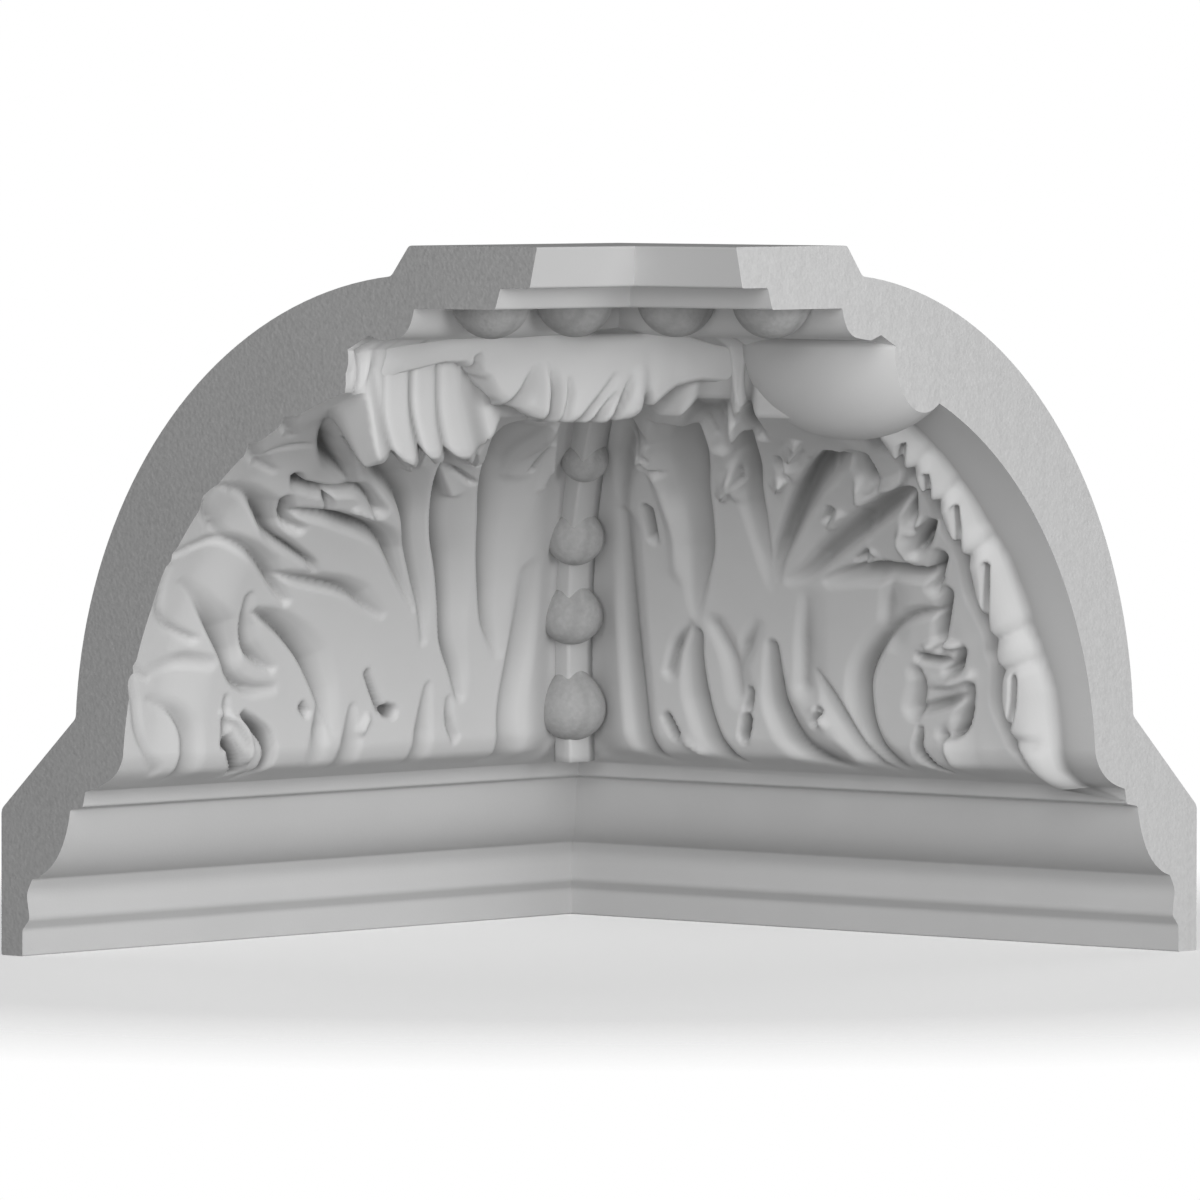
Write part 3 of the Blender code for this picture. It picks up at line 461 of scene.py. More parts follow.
def new_object(name, data):
    """Object of the scene."""
    thing = bpy.data.objects.new(name, data)
    bpy.context.scene.collection.objects.link(thing)
    return thing


def place(wing, run, out, height):
    """World place, in metres, of a point of a wing."""
    if wing == "x":
        return corner_place(run, out, height)
    return corner_place(out, run, height)


# The carved leaf

def curve(points):
    """Points along a smooth curve through the given ones."""
    points = np.asarray(points, float)
    ends = np.vstack([2.0 * points[0] - points[1], points, 2.0 * points[-1] - points[-2]])
    line = []
    for before, start, end, after in zip(ends, ends[1:], ends[2:], ends[3:]):
        for step in range(CURVE_STEPS):
            share = step / CURVE_STEPS
            bend = 2.0 * before - 5.0 * start + 4.0 * end - after
            twist = 3.0 * start - before - 3.0 * end + after
            line.append(start + 0.5 * ((end - before) * share + bend * share ** 2 + twist * share ** 3))
    return np.array(line + [points[-1]])


def stroke(run, girth, tool, line, left, right, depth):
    """Depth that one stroke of a tool takes at each place."""
    line = curve(np.reshape(line, (-1, 2)))
    reach = max(np.max(left), np.max(right))
    near = ((run > line[:, 0].min() - reach) & (run < line[:, 0].max() + reach)
            & (girth > line[:, 1].min() - reach) & (girth < line[:, 1].max() + reach))
    taken = np.zeros(run.shape)
    run = run[near]
    girth = girth[near]
    nearest = np.full(run.shape, np.inf)
    share = np.zeros(run.shape)
    lean = np.zeros(run.shape)
    pieces = len(line) - 1
    for number in range(pieces):
        start = line[number]
        way = line[number + 1] - start
        length = math.hypot(*way)
        along = np.clip(((run - start[0]) * way[0] + (girth - start[1]) * way[1]) / length ** 2, 0.0, 1.0)
        beside = run - start[0] - along * way[0]
        above = girth - start[1] - along * way[1]
        far = np.hypot(beside, above)
        closer = far < nearest
        nearest = np.where(closer, far, nearest)
        share = np.where(closer, (number + along) / pieces, share)
        lean = np.where(closer, (way[0] * above - way[1] * beside) / length, lean)

    def value(values):
        """Value at each place of a size given along the line."""
        values = np.atleast_1d(values)
        return np.interp(share, np.linspace(0.0, 1.0, len(values)), values)

    lean = 0.5 + 0.5 * np.clip(lean / np.maximum(nearest, 1e-6), -1.0, 1.0)
    off = np.clip(nearest / (value(left) * lean + value(right) * (1.0 - lean)), 0.0, 1.0)
    section = (1.0 - off) ** VEINER_SHARPNESS if tool == VEINER else bump(off)
    taken[near] = value(depth) * section
    return taken


def scalloped_edge(run, girth):
    """Height and face of the next leaf's raised edge, steep on the corner's side and round on the other."""
    face = np.interp(girth, *curve(EDGE_FACE).T)
    foot = np.interp(girth, *np.transpose(EDGE_FOOT))
    steep = smooth((run - face) / EDGE_STEEP)
    over = np.clip((run - face - EDGE_STEEP) / (foot - face - EDGE_STEEP), 0.0, 1.0)
    height = EDGE_HEIGHT * steep * (1.0 - over ** EDGE_ROUND) * smooth((EDGE_TOP - girth) / EDGE_HEIGHT)
    for mark in STROKES["edge"]:
        height = height - stroke(run, girth, *mark)
    return np.maximum(height, 0.0), face


def leaf_height(wing, run, girth):
    """Height of the carved leaf above the cove, and of its surface before it was carved."""
    angle = girth / COVE_RADIUS
    beside = run - (COVE_CENTRE_OUT - COVE_RADIUS * np.cos(angle))
    body = smooth((beside - LEAF_START[wing]) / LEAF_SLOPE) * smooth((girth - LEAF_FOOT) / LEAF_FOOT_RISE)
    thin = 1.0 - LEAF_THIN[wing] / LEAF_THICKNESS
    body = body * (1.0 - thin * smooth((run - LEAF_MARGIN[wing]) / LEAF_SLOPE))
    blank = body * LEAF_THICKNESS * (1.0 + TIP_GROWTH * smooth((girth - TIP_START) / TIP_LENGTH))
    limit = COVE_RADIUS - (COVE_CENTRE_OUT - TIP_OUT) / np.maximum(np.cos(angle), TIP_LEAST_LEAN)
    if wing == "x":
        hanging = smooth((run - DRAPE_RUN[0]) / DRAPE_FADE) * smooth((DRAPE_RUN[1] - run) / DRAPE_FADE)
        above = girth - DRAPE_FOOT + DRAPE_SWING * np.sin(run / DRAPE_PITCH)
        hanging = hanging * smooth(above / DRAPE_FADE)
        blank = blank + (DRAPE_DEPTH - blank) * hanging
    blank = np.minimum(blank, limit)
    cut = np.zeros(run.shape)
    ridge = np.zeros(run.shape)
    for tool, line, left, right, depth in STROKES[wing]:
        wider = CARVE_WIDER if np.max(depth) > 0 else 1.0
        reaches = np.multiply(left, wider), np.multiply(right, wider)
        amount = stroke(run, girth, tool, line, *reaches, depth) * CARVE_DEEPER
        cut = cut + np.maximum(amount, 0.0) ** 3
        ridge = ridge + np.maximum(-amount, 0.0)
    floor = LEAF_THICKNESS + CARVE_FLOOR * (1.0 - smooth((girth - LEAF_TOP) / LEAF_SLOPE))
    height = blank - body * (np.minimum(np.cbrt(cut), floor) - ridge)
    height = np.minimum(height, limit)
    if wing == "y":
        raised, face = scalloped_edge(run, girth)
        height = height * (1.0 - smooth((run - face + 2.0 * EDGE_STEEP) / EDGE_STEEP))
        height = np.where(run > face - EDGE_STEEP, np.maximum(height, raised), height)
    return height, blank


# The swept body

def band_out(wing, run):
    """How far the band under the beads stands off the wall."""
    off = np.abs(run - NOTCH_RUN[wing]) / NOTCH_HALF_WIDTH
    return BAND_OUT - NOTCH_DEPTH * np.clip(1.0 - off, 0.0, 1.0)


def eased(corners, before, after):
    """Profile with each arris rounded off by its own ease, and its flats kept flat."""
    places = [before] + list(corners) + [after]
    line = []
    for last, corner, following in zip(places, places[1:], places[2:]):
        here = np.array(corner[:2], float)
        back = np.array(last[:2]) - here
        on = np.array(following[:2]) - here
        room = EASE_MOST * min(np.hypot(*back), np.hypot(*on))
        ease = min(corner[2], room) if len(corner) > 2 else 0.0
        if ease < EASE_LEAST:
            line.append(here)
            continue
        back = here + back / np.hypot(*back) * ease
        on = here + on / np.hypot(*on) * ease
        line.append(here + (back - here) * EASE_FLAT)
        line += [bezier((back, here, on), share) for share in (0.0, 0.25, 0.5, 0.75, 1.0)]
        line.append(here + (on - here) * EASE_FLAT)
    return line


def front_foot():
    """Profile of the plain foot, from the wall up to the cove fillet, as out, height and ease."""
    bulge = (OVOLO_OUT - OVOLO_FLATNESS, OVOLO_FOOT_HEIGHT + OVOLO_FLATNESS)
    ovolo = ((OVOLO_FOOT_OUT, OVOLO_FOOT_HEIGHT), bulge, (OVOLO_OUT, OVOLO_TOP))
    waist = (BASE_BAND_OUT - BASE_BAND_WAIST, OVOLO_FOOT_HEIGHT - BASE_BAND_COVE)
    corners = [(0.0, 0.0, 1.0), (LIP, 0.0, 0.8), (LIP, LIP_HEIGHT, 1.2),
               (BASE_BAND_OUT, BASE_BAND_HEIGHT, 1.6), waist + (3.0,), ovolo[0] + (1.0,)]
    corners += [tuple(bezier(ovolo, step / OVOLO_STEPS)) for step in range(1, OVOLO_STEPS)]
    corners += [ovolo[-1] + (1.0,), (FILLET_OUT - FILLET_SEAT[0], OVOLO_TOP + FILLET_SEAT[1], 1.0)]
    return eased(corners, (0.0, WALL_FLAT), (FILLET_OUT + FILLET_EASE, FILLET_TOP))


def front_top():
    """Profile of the plain top, from the nose under the beads round the back to the wall, the same way."""
    nose = ((NOSE_OUT - NOSE_WIDTH, NOSE_HEIGHT - NOSE_DROP), (NOSE_OUT, NOSE_HEIGHT))
    recess = (nose[1], (RECESS_OUT - RECESS_BEND[0], NOSE_HEIGHT + RECESS_BEND[1]), (RECESS_OUT, SOFFIT))
    corners = [nose[0] + (1.2,), nose[1] + (1.0,)]
    corners += [tuple(bezier(recess, step / RECESS_STEPS)) for step in range(1, RECESS_STEPS)]
    corners += [(RECESS_OUT, SOFFIT, 0.8), (SOFFIT_OUT, SOFFIT, 1.0), (DRIP_OUT, FASCIA_FOOT, 0.8),
                (FASCIA_OUT, FASCIA_FOOT, 1.0), (PROJECTION, HEIGHT, 0.8),
                (PROJECTION - CEILING_FLAT, HEIGHT, 1.5)]
    back_top = (PROJECTION - CEILING_FLAT - BACK_STEP_WIDTH, HEIGHT - BACK_STEP_HEIGHT)
    back_foot = (COVE_OUT - SHELL_FOOT, COVE_BASE + BACK_SPRING)
    centre_out, centre_height, radius = upright_arc(back_foot, back_top)
    first = math.asin((back_top[1] - centre_height) / radius)
    last = math.asin((WALL_FLAT + BACK_CHAMFER_RISE - centre_height) / radius)
    for step in range(BACK_STEPS + 1):
        angle = first + (last - first) * step / BACK_STEPS
        corner = (centre_out - radius * math.cos(angle), centre_height + radius * math.sin(angle))
        corners.append(corner + ((1.5,) if step in (0, BACK_STEPS) else ()))
    corners.append((0.0, WALL_FLAT, 2.0))
    return eased(corners, (QUIRK_OUT, QUIRK_HEIGHT), (0.0, 0.0))


class Casting:
    """Collects the points and faces of the one cast piece."""

    def __init__(self):
        self.points = []
        self.hollows = []
        self.faces = []
        self.finishes = []
        self.arrises = []

    def point(self, position, hollow=0.0):
        """Number of a new point."""
        self.points.append(position)
        self.hollows.append(hollow)
        return len(self.points) - 1

    def face(self, corners, finish=0):
        """New face, without the corners that fall together."""
        corners = [c for c, before in zip(corners, corners[-1:] + corners[:-1]) if c != before]
        if len(set(corners)) > 2:
            self.faces.append(corners)
            self.finishes.append(finish)

    def join(self, mesh):
        """Take over a finished mesh."""
        start = len(self.points)
        hollows = mesh.attributes.get("hollow")
        for number, vert in enumerate(mesh.vertices):
            self.point(tuple(vert.co), hollows.data[number].value if hollows else 0.0)
        for polygon in mesh.polygons:
            self.face([start + v for v in polygon.vertices], polygon.material_index)
        for edge in mesh.edges:
            if edge.use_edge_sharp:
                self.arrises.append((start + edge.vertices[0], start + edge.vertices[1]))

    def mesh(self, name):
        """The finished mesh, smooth apart from its arrises."""
        mesh = bpy.data.meshes.new(name)
        mesh.from_pydata(self.points, [], self.faces)
        mesh.polygons.foreach_set("material_index", self.finishes)
        mesh.polygons.foreach_set("use_smooth", [True] * len(self.faces))
        hollow = mesh.attributes.new("hollow", "FLOAT", "POINT")
        hollow.data.foreach_set("value", self.hollows)
        sharp = {tuple(sorted(pair)) for pair in self.arrises}
        marks = mesh.attributes.new("sharp_edge", "BOOLEAN", "EDGE")
        marks.data.foreach_set("value", [tuple(sorted(edge.vertices)) in sharp for edge in mesh.edges])
        return mesh


def softened(height, reach):
    """Height of the surface averaged over its surroundings."""
    for axis in (0, 1):
        for _ in range(2):
            rims = [(reach + 1, reach) if a == axis else (0, 0) for a in (0, 1)]
            padded = np.pad(height, rims, mode="edge")
            total = np.cumsum(padded, axis=axis)
            size = height.shape[axis]
            width = 2 * reach + 1
            ahead = np.take(total, range(width, width + size), axis=axis)
            height = (ahead - np.take(total, range(size), axis=axis)) / width
    return height


def carved_grid(wing):
    """Run of the columns of the carved face, and from the fillet to the quirk the rows: where the row meets
    the mitre, and its out, height and hollow at each column."""
    first_run = FILLET_OUT + FILLET_EASE
    places = (first_run, *EDGE_FINE, WING[wing])
    spans = np.diff(places) * ((1.0, EDGE_FINER if wing == "y" else 1.0, 1.0))
    spans = np.concatenate([[0.0], np.cumsum(spans)])
    columns = int(math.ceil(spans[-1] / GRAIN))
    run = np.interp(np.linspace(0.0, spans[-1], columns + 1), spans, places)
    foot = ((first_run, FILLET_TOP), (COVE_OUT - FOOT_BEND[0], FILLET_TOP + FOOT_BEND[1]),
            (COVE_CENTRE_OUT - COVE_RADIUS * math.cos(COVE_FIRST), COVE_CENTRE_HEIGHT + COVE_FOOT_ROUND))
    none = np.zeros(run.shape)
    rows = []
    steps = int(COVE_FOOT_LENGTH / GRAIN)
    for level in range(steps):
        out, height = bezier(foot, level / steps)
        rows.append((out, none + out, none + height, none + (height - COVE_BASE), none + COVE_FIRST))
    last = np.arccos((COVE_CENTRE_OUT - band_out(wing, run)) / COVE_RADIUS)
    levels = int(COVE_LENGTH / GRAIN)
    for level in range(levels + 1):
        share = level / levels
        angle = COVE_FIRST + (last - COVE_FIRST) * share
        out = COVE_CENTRE_OUT - COVE_RADIUS * np.cos(angle)
        mitre = out[-1]
        for _ in range(MITRE_ROUNDS):
            mitre = np.interp(mitre, run, out)
        height = COVE_CENTRE_HEIGHT + COVE_RADIUS * np.sin(angle)
        rows.append((mitre, out, height, COVE_RADIUS * angle, angle))
    mitres, outs, heights, girths, tilts = (np.array(column) for column in zip(*rows))
    spread = np.broadcast_to(run, outs.shape)
    lift, blank = leaf_height(wing, spread, girths)
    carved = lift - blank
    # hollow: how far each place lies below its softened surroundings; the primer paints shade into the
    # hollows and a highlight on raised places by it
    near, wide = (softened(carved, round(reach / GRAIN)) for reach in HOLLOW_REACH)
    hollow = (near + wide) * 0.5 - carved
    lift = lift * smooth((spread - mitres[:, None]) / MITRE_FADE)
    out = outs + lift * np.cos(tilts)
    height = heights - lift * np.sin(tilts)
    rows = list(zip(mitres, out, height, hollow))
    for level in range(1, BAND_STEPS + 1):
        share = level / BAND_STEPS
        swell = (1.0 - (2.0 * share - 1.0) ** 2) * smooth((run - mitres[-1]) / MITRE_FADE)
        forward = out[-1] + (outs[-1] - out[-1]) * share + swell * (BAND_ROUND + BAND_SWELL * lift[-1])
        level_height = height[-1] + (BAND_TOP - height[-1]) * share
        rows.append((mitres[-1], forward, level_height, hollow[-1]))
    rows.append((QUIRK_OUT, none + QUIRK_OUT, none + QUIRK_HEIGHT, none))
    return run, rows


def sweep(casting):
    """The whole profile along both wings, with the sawn ends."""
    lines = []

    def plain(out, height):
        """Line of a plain profile point along both wings: cut, mitre, cut."""
        ends = [casting.point(place("x", WING["x"] - SAWN_GAP, out, height)),
                casting.point(corner_place(out, out, height)),
                casting.point(place("y", WING["y"] - SAWN_GAP, out, height))]
        lines.append({"x": ([ends[0]], ends[1]), "y": ([ends[2]], ends[1])})

    for out, height in front_foot():
        plain(out, height)
    (run_x, rows_x), (run_y, rows_y) = (carved_grid(wing) for wing in WING)
    for row_x, row_y in zip(rows_x, rows_y):
        mitre = row_x[0]
        at_mitre = float(np.interp(mitre, run_x, row_x[2]))
        middle = casting.point(corner_place(mitre, mitre, at_mitre))
        line = {}
        for wing, run, (_, out, height, hollow) in (("x", run_x, row_x), ("y", run_y, row_y)):
            numbers = []
            for j in range(len(run) - 1, -1, -1):
                if run[j] < mitre + MITRE_GAP:
                    numbers.append(middle)
                    continue
                along = run[j] - SAWN_GAP if j == len(run) - 1 else run[j]
                numbers.append(casting.point(place(wing, along, out[j], height[j]), float(hollow[j])))
            line[wing] = (numbers, middle)
        lines.append(line)
    for out, height in front_top():
        plain(out, height)
    for lower, upper in zip(lines, lines[1:] + lines[:1]):
        casting.arrises.append((lower["x"][1], upper["x"][1]))
        for wing in WING:
            low, low_mitre = lower[wing]
            high, high_mitre = upper[wing]
            turn = 1 if wing == "x" else -1
            if len(low) == len(high) and len(low) > 1:
                for j in range(len(low) - 1):
                    casting.face([low[j], low[j + 1], high[j + 1], high[j]][::turn])
                continue
            low = low + ([low_mitre] if low[-1] != low_mitre else [])
            high = high + ([high_mitre] if high[-1] != high_mitre else [])
            casting.face((low + high[::-1])[::turn])
    for wing in WING:
        end = [line[wing][0][0] for line in lines]
        casting.face(end if wing == "y" else end[::-1], SAWN[wing])
        casting.arrises += list(zip(end, end[1:] + end[:1]))


def solid(mesh, name):
    """Finished mesh of a closed form, its faces turned outwards."""
    mesh.normal_update()
    bmesh.ops.recalc_face_normals(mesh, faces=mesh.faces)
    if mesh.calc_volume(signed=True) < 0.0:
        bmesh.ops.reverse_faces(mesh, faces=mesh.faces)
    data = bpy.data.meshes.new(name)
    mesh.to_mesh(data)
    mesh.free()
    return data


def lobe(wing):
    """Smooth egg-shaped lobe that hangs over the cove and is sawn through by the cut."""
    mesh = bmesh.new()
    bmesh.ops.create_uvsphere(mesh, radius=1.0, **LOBE_FACES)
    for vert in mesh.verts:
        across, forward, up = vert.co
        up = up * (LOBE_CROWN if up > 0.0 else LOBE_DROP)
        vert.co = place(wing, LOBE_RUN[wing] + across * LOBE_HALF_WIDTH,
                        BAND_OUT - LOBE_SEAT + forward * LOBE_BULGE, BAND_TOP + up)
    cut = place(wing, WING[wing], 0.0, 0.0)
    geometry = mesh.verts[:] + mesh.edges[:] + mesh.faces[:]
    split = bmesh.ops.bisect_plane(mesh, geom=geometry, plane_co=cut, plane_no=ALONG[wing],
                                   clear_outer=True)
    rim = [part for part in split["geom_cut"] if isinstance(part, bmesh.types.BMEdge)]
    sawn = bmesh.ops.contextual_create(mesh, geom=rim)["faces"]
    for face in sawn:
        face.material_index = SAWN[wing]
        for edge in face.edges:
            edge.smooth = False
    return solid(mesh, "lobe_" + wing)


def hood():
    """Pleated leaf tip that curls over the corner of the band and the top of the string."""
    mesh = bmesh.new()
    hollows = mesh.verts.layers.float.new("hollow")
    face = curve(HOOD_LINE)
    root = curve(HOOD_ROOT)
    lengths = np.concatenate([[0.0], np.cumsum(np.hypot(*np.diff(face, axis=0).T))])
    along = np.linspace(0.0, lengths[-1], int(lengths[-1] / (HOOD_FINER * GRAIN)))
    face, root = (np.transpose([np.interp(along, lengths, line[:, i]) for i in (0, 1)])
                  for line in (face, root))
    inward = root - face
    reach = np.hypot(*inward.T)
    inward = inward / reach[:, None]
    top = BAND_TOP + np.interp(face.min(axis=1), *np.transpose(HOOD_TOP))
    edge = BAND_TOP - np.interp(along, *np.transpose(HOOD_EDGE))
    none = np.zeros(along.shape)
    rows = [(reach, QUIRK_HEIGHT, none)]
    rows += [(np.minimum(back, most * reach), top + rise, none) for back, most, rise in HOOD_BACK]
    for level in range(HOOD_STEPS + 1):
        share = level / HOOD_STEPS
        drop = (top - edge) * share
        ends = max(0.0, 1.0 - share / HOOD_LIP_ROUND), max(0.0, 1.0 - (1.0 - share) / HOOD_LIP_ROUND)
        back = HOOD_LIP * (ends[0] ** 2 + ends[1] ** 2)
        back = back - HOOD_BULGE * math.sin(math.pi * share) + HOOD_LEAN * drop
        pleat = none
        fall = HOOD_TOP[-1][1] + BAND_TOP - top + drop
        for mark in STROKES["hood"]:
            pleat = pleat + PLEATS_DEEPER * stroke(along, fall, *mark)
        back = back + pleat
        # Painted shade: the pleats' depth goes to the hollow attribute, which darkens the primer in them
        rows.append((back, top - drop, pleat * PLEATS_PAINTED_SHADE))
    (lip_part, lip_rise), (under_part, under_rise) = HOOD_UNDER
    lip = np.minimum(back + HOOD_THICKNESS, lip_part * reach)
    under = np.maximum(edge + under_rise, 0.5 * (edge + BAND_FOOT))
    rows += [(lip, edge + lip_rise, none), (np.maximum(lip, under_part * reach), under, none),
             (reach, BAND_FOOT, none)]
    grid = []
    for back, height, hollow in rows:
        places = face + inward * np.reshape(back, (-1, 1))
        heights = np.broadcast_to(height, along.shape)
        grid.append([mesh.verts.new(corner_place(x, y, z)) for (x, y), z in zip(places, heights)])
        for vert, value in zip(grid[-1], hollow):
            vert[hollows] = value
    for lower, upper in zip(grid, grid[1:] + grid[:1]):
        for i in range(len(along) - 1):
            mesh.faces.new((lower[i], lower[i + 1], upper[i + 1], upper[i]))
    mesh.faces.new([row[0] for row in grid])
    mesh.faces.new([row[-1] for row in grid])
    return solid(mesh, "hood")


# Node trees

class Value:
    """One output of a node tree, with the usual arithmetic."""

    def __init__(self, tree, socket):
        self.tree = tree
        self.socket = socket

    def math(self, operation, *others):
        """Math node on this value and others."""
        values = dict(enumerate((self,) + others))
        return self.tree.add("ShaderNodeMath", values, operation=operation)[0]

    def __add__(self, other):
        return self.math("ADD", other)

    def __sub__(self, other):
        return self.math("SUBTRACT", other)

    def __rsub__(self, other):
        return (self * -1.0).math("ADD", other)

    def __mul__(self, other):
        return self.math("MULTIPLY", other)

    __radd__ = __add__
    __rmul__ = __mul__


class Tree:
    """Adds nodes to a node tree."""

    def __init__(self, tree):
        self.tree = tree

    def add(self, kind, values=None, **settings):
        """Outputs of a new node: its settings are set first, then the values or links of its sockets."""
        node = self.tree.nodes.new(kind)
        for name, setting in settings.items():
            setattr(node, name, setting)
        for name, value in (values or {}).items():
            if isinstance(value, Value):
                self.tree.links.new(value.socket, node.inputs[name])
            else:
                node.inputs[name].default_value = value
        return Outputs(self, node)


class Outputs:
    """The outputs of one node, by name or number."""

    def __init__(self, tree, node):
        self.tree = tree
        self.node = node

    def __getitem__(self, name):
        return Value(self.tree, self.node.outputs[name])


def blank_modifier_tree(name, sizes):
    """Geometry tree with a named input for each size, and what its inputs give."""
    group = bpy.data.node_groups.new(name, "GeometryNodeTree")
    group.interface.new_socket("Geometry", in_out="INPUT", socket_type="NodeSocketGeometry")
    for size, (kind, value) in sizes.items():
        socket = group.interface.new_socket(size, in_out="INPUT", socket_type=kind)
        socket.default_value = value
    group.interface.new_socket("Geometry", in_out="OUTPUT", socket_type="NodeSocketGeometry")
    tree = Tree(group)
    return tree, tree.add("NodeGroupInput")


def grown(name, tree, start, sizes):
    """Plain mesh that a geometry tree makes from a start mesh with the given sizes."""
    thing = new_object(name, start)
    modifier = thing.modifiers.new(name, "NODES")
    modifier.node_group = tree.tree
    for item in tree.tree.interface.items_tree:
        if item.in_out == "INPUT" and item.name in sizes:
            modifier[item.identifier] = sizes[item.name]
    ready = thing.evaluated_get(bpy.context.evaluated_depsgraph_get())
    mesh = bpy.data.meshes.new_from_object(ready)
    bpy.data.objects.remove(thing, do_unlink=True)
    return mesh


def soffit_beads_tree(paint):
    """Row of round beads at an even pitch."""
    sizes = {"First": ("NodeSocketVector", (0.0, 0.0, 0.0)), "Pitch": ("NodeSocketVector", (0.0, 0.0, 0.0)),
             "Count": ("NodeSocketInt", 1), "Radius": ("NodeSocketFloat", 0.01)}
    tree, given = blank_modifier_tree("soffit_beads", sizes)
    line = tree.add("GeometryNodeMeshLine", {"Count": given["Count"], "Start Location": given["First"],
                                             "Offset": given["Pitch"]})
    ball = tree.add("GeometryNodeMeshUVSphere", {**BEAD_FACES, "Radius": given["Radius"]})
    row = tree.add("GeometryNodeInstanceOnPoints", {"Points": line["Mesh"], "Instance": ball["Mesh"]})
    finish_tree(tree, row["Instances"], paint)
    return tree


def bead_string_tree(paint):
    """Pear-shaped beads, one on each point, turned and sized by the point's attributes."""
    sizes = {"Shoulder": ("NodeSocketFloat", 0.3), "Stretch": ("NodeSocketFloat", 1.2)}
    tree, given = blank_modifier_tree("bead_string", sizes)
    ball = tree.add("GeometryNodeMeshUVSphere", STRING_BEAD_FACES)
    where = tree.add("GeometryNodeInputPosition")
    parts = tree.add("ShaderNodeSeparateXYZ", {0: where["Position"]})
    above = parts["Z"].math("MAXIMUM", 0.0)
    narrow = 1.0 - above * above * given["Shoulder"]
    height = parts["Z"] + above * (given["Stretch"] - 1.0)
    pear = tree.add("ShaderNodeCombineXYZ",
                    {"X": parts["X"] * narrow, "Y": parts["Y"] * narrow, "Z": height})
    shaped = tree.add("GeometryNodeSetPosition", {"Geometry": ball["Mesh"], "Position": pear["Vector"]})
    size, way = (tree.add("GeometryNodeInputNamedAttribute", {"Name": name}, data_type="FLOAT_VECTOR")
                 for name in ("bead_size", "bead_way"))
    turn = tree.add("FunctionNodeAlignRotationToVector", {"Vector": way["Attribute"]}, axis="Z")
    beads = tree.add("GeometryNodeInstanceOnPoints",
                     {"Points": given["Geometry"], "Instance": shaped["Geometry"],
                      "Rotation": turn["Rotation"], "Scale": size["Attribute"]})
    finish_tree(tree, beads["Instances"], paint)
    return tree


def finish_tree(tree, instances, paint):
    """Close a tree: real mesh, material, output."""
    real = tree.add("GeometryNodeRealizeInstances", {"Geometry": instances})
    painted = tree.add("GeometryNodeSetMaterial", {"Geometry": real["Geometry"], "Material": paint})
    smooth_all = tree.add("GeometryNodeSetShadeSmooth", {"Geometry": painted["Geometry"]})
    tree.add("NodeGroupOutput", {"Geometry": smooth_all["Geometry"]})


def soffit_beads(paint):
    """The beads sunk in the soffit of each wing."""
    tree = soffit_beads_tree(paint)
    rows = []
    for wing in WING:
        run = SOFFIT_OUT - BEAD_LINE + BEAD_FIRST
        first = Vector(place(wing, run, SOFFIT_OUT - BEAD_LINE, SOFFIT - BEAD_DROP + BEAD_RADIUS))
        pitch = Vector([BEAD_PITCH * MM * part for part in ALONG[wing]])
        sizes = {"First": first, "Pitch": pitch, "Count": BEAD_COUNT, "Radius": BEAD_RADIUS * MM}
        rows.append(grown("soffit_beads_" + wing, tree, bpy.data.meshes.new("start"), sizes))
    return rows


def string_place(girth):
    """Middle of the bead string, the way along it and the way out of the corner."""
    angle = girth / COVE_RADIUS
    out = COVE_CENTRE_OUT - COVE_RADIUS * math.cos(angle)
    height = COVE_CENTRE_HEIGHT + COVE_RADIUS * math.sin(angle)
    middle = np.array((out + STRING_OFF_X, out + STRING_OFF_Y, height))
    way = np.array((math.sin(angle), math.sin(angle), math.cos(angle)))
    way = way / np.linalg.norm(way)
    across = np.array((-HALF_ROOT, HALF_ROOT, 0.0))
    middle = middle - across * STRING_BOW * bump(2.0 * girth / STRING_TOP - STRING_BOW_LOW)
    return middle, way, np.cross(way, across) * -1.0, across


def string_beads(paint):
    """The beads on the string."""
    start = bpy.data.meshes.new("string_points")
    points = []
    ways = []
    sizes = []
    for middle, radius, half_length in STRING_BEADS:
        position, way, _, _ = string_place(middle)
        points.append(corner_place(*position))
        ways += list(way)
        sizes += [radius * MM, radius * MM, half_length * MM]
    start.from_pydata(points, [], [])
    start.attributes.new("bead_way", "FLOAT_VECTOR", "POINT").data.foreach_set("vector", ways)
    start.attributes.new("bead_size", "FLOAT_VECTOR", "POINT").data.foreach_set("vector", sizes)
    return grown("string_beads", bead_string_tree(paint), start, STRING_BEAD_SHAPE)


def string_neck():
    """The cord between the beads, with an arris along its front."""
    mesh = bmesh.new()
    rings = []
    for step in range(STRING_STEPS + 1):
        girth = STRING_FOOT + (STRING_TOP - STRING_FOOT) * step / STRING_STEPS
        middle, _, front, across = string_place(girth)
        corner = middle - (STRING_OFF_X, STRING_OFF_Y, 0.0)
        beside_wall = corner + (-STRING_SINK, STRING_SPREAD, 0.0)
        ring = [mesh.verts.new(corner_place(*beside_wall))]
        for beside, forward in STRING_SECTION:
            position = middle + STRING_NECK * (beside * -across + forward * front)
            ring.append(mesh.verts.new(corner_place(*position)))
        rings.append(ring)
    for lower, upper in zip(rings, rings[1:]):
        for i in range(len(lower)):
            following = (i + 1) % len(lower)
            mesh.faces.new((lower[i], lower[following], upper[following], upper[i]))
    mesh.faces.new(rings[0][::-1])
    mesh.faces.new(rings[-1])
    for edge in mesh.edges:
        if len(edge.link_faces) == 2 and edge.calc_face_angle(0.0) > STRING_ARRIS:
            edge.smooth = False
    return solid(mesh, "string_neck")
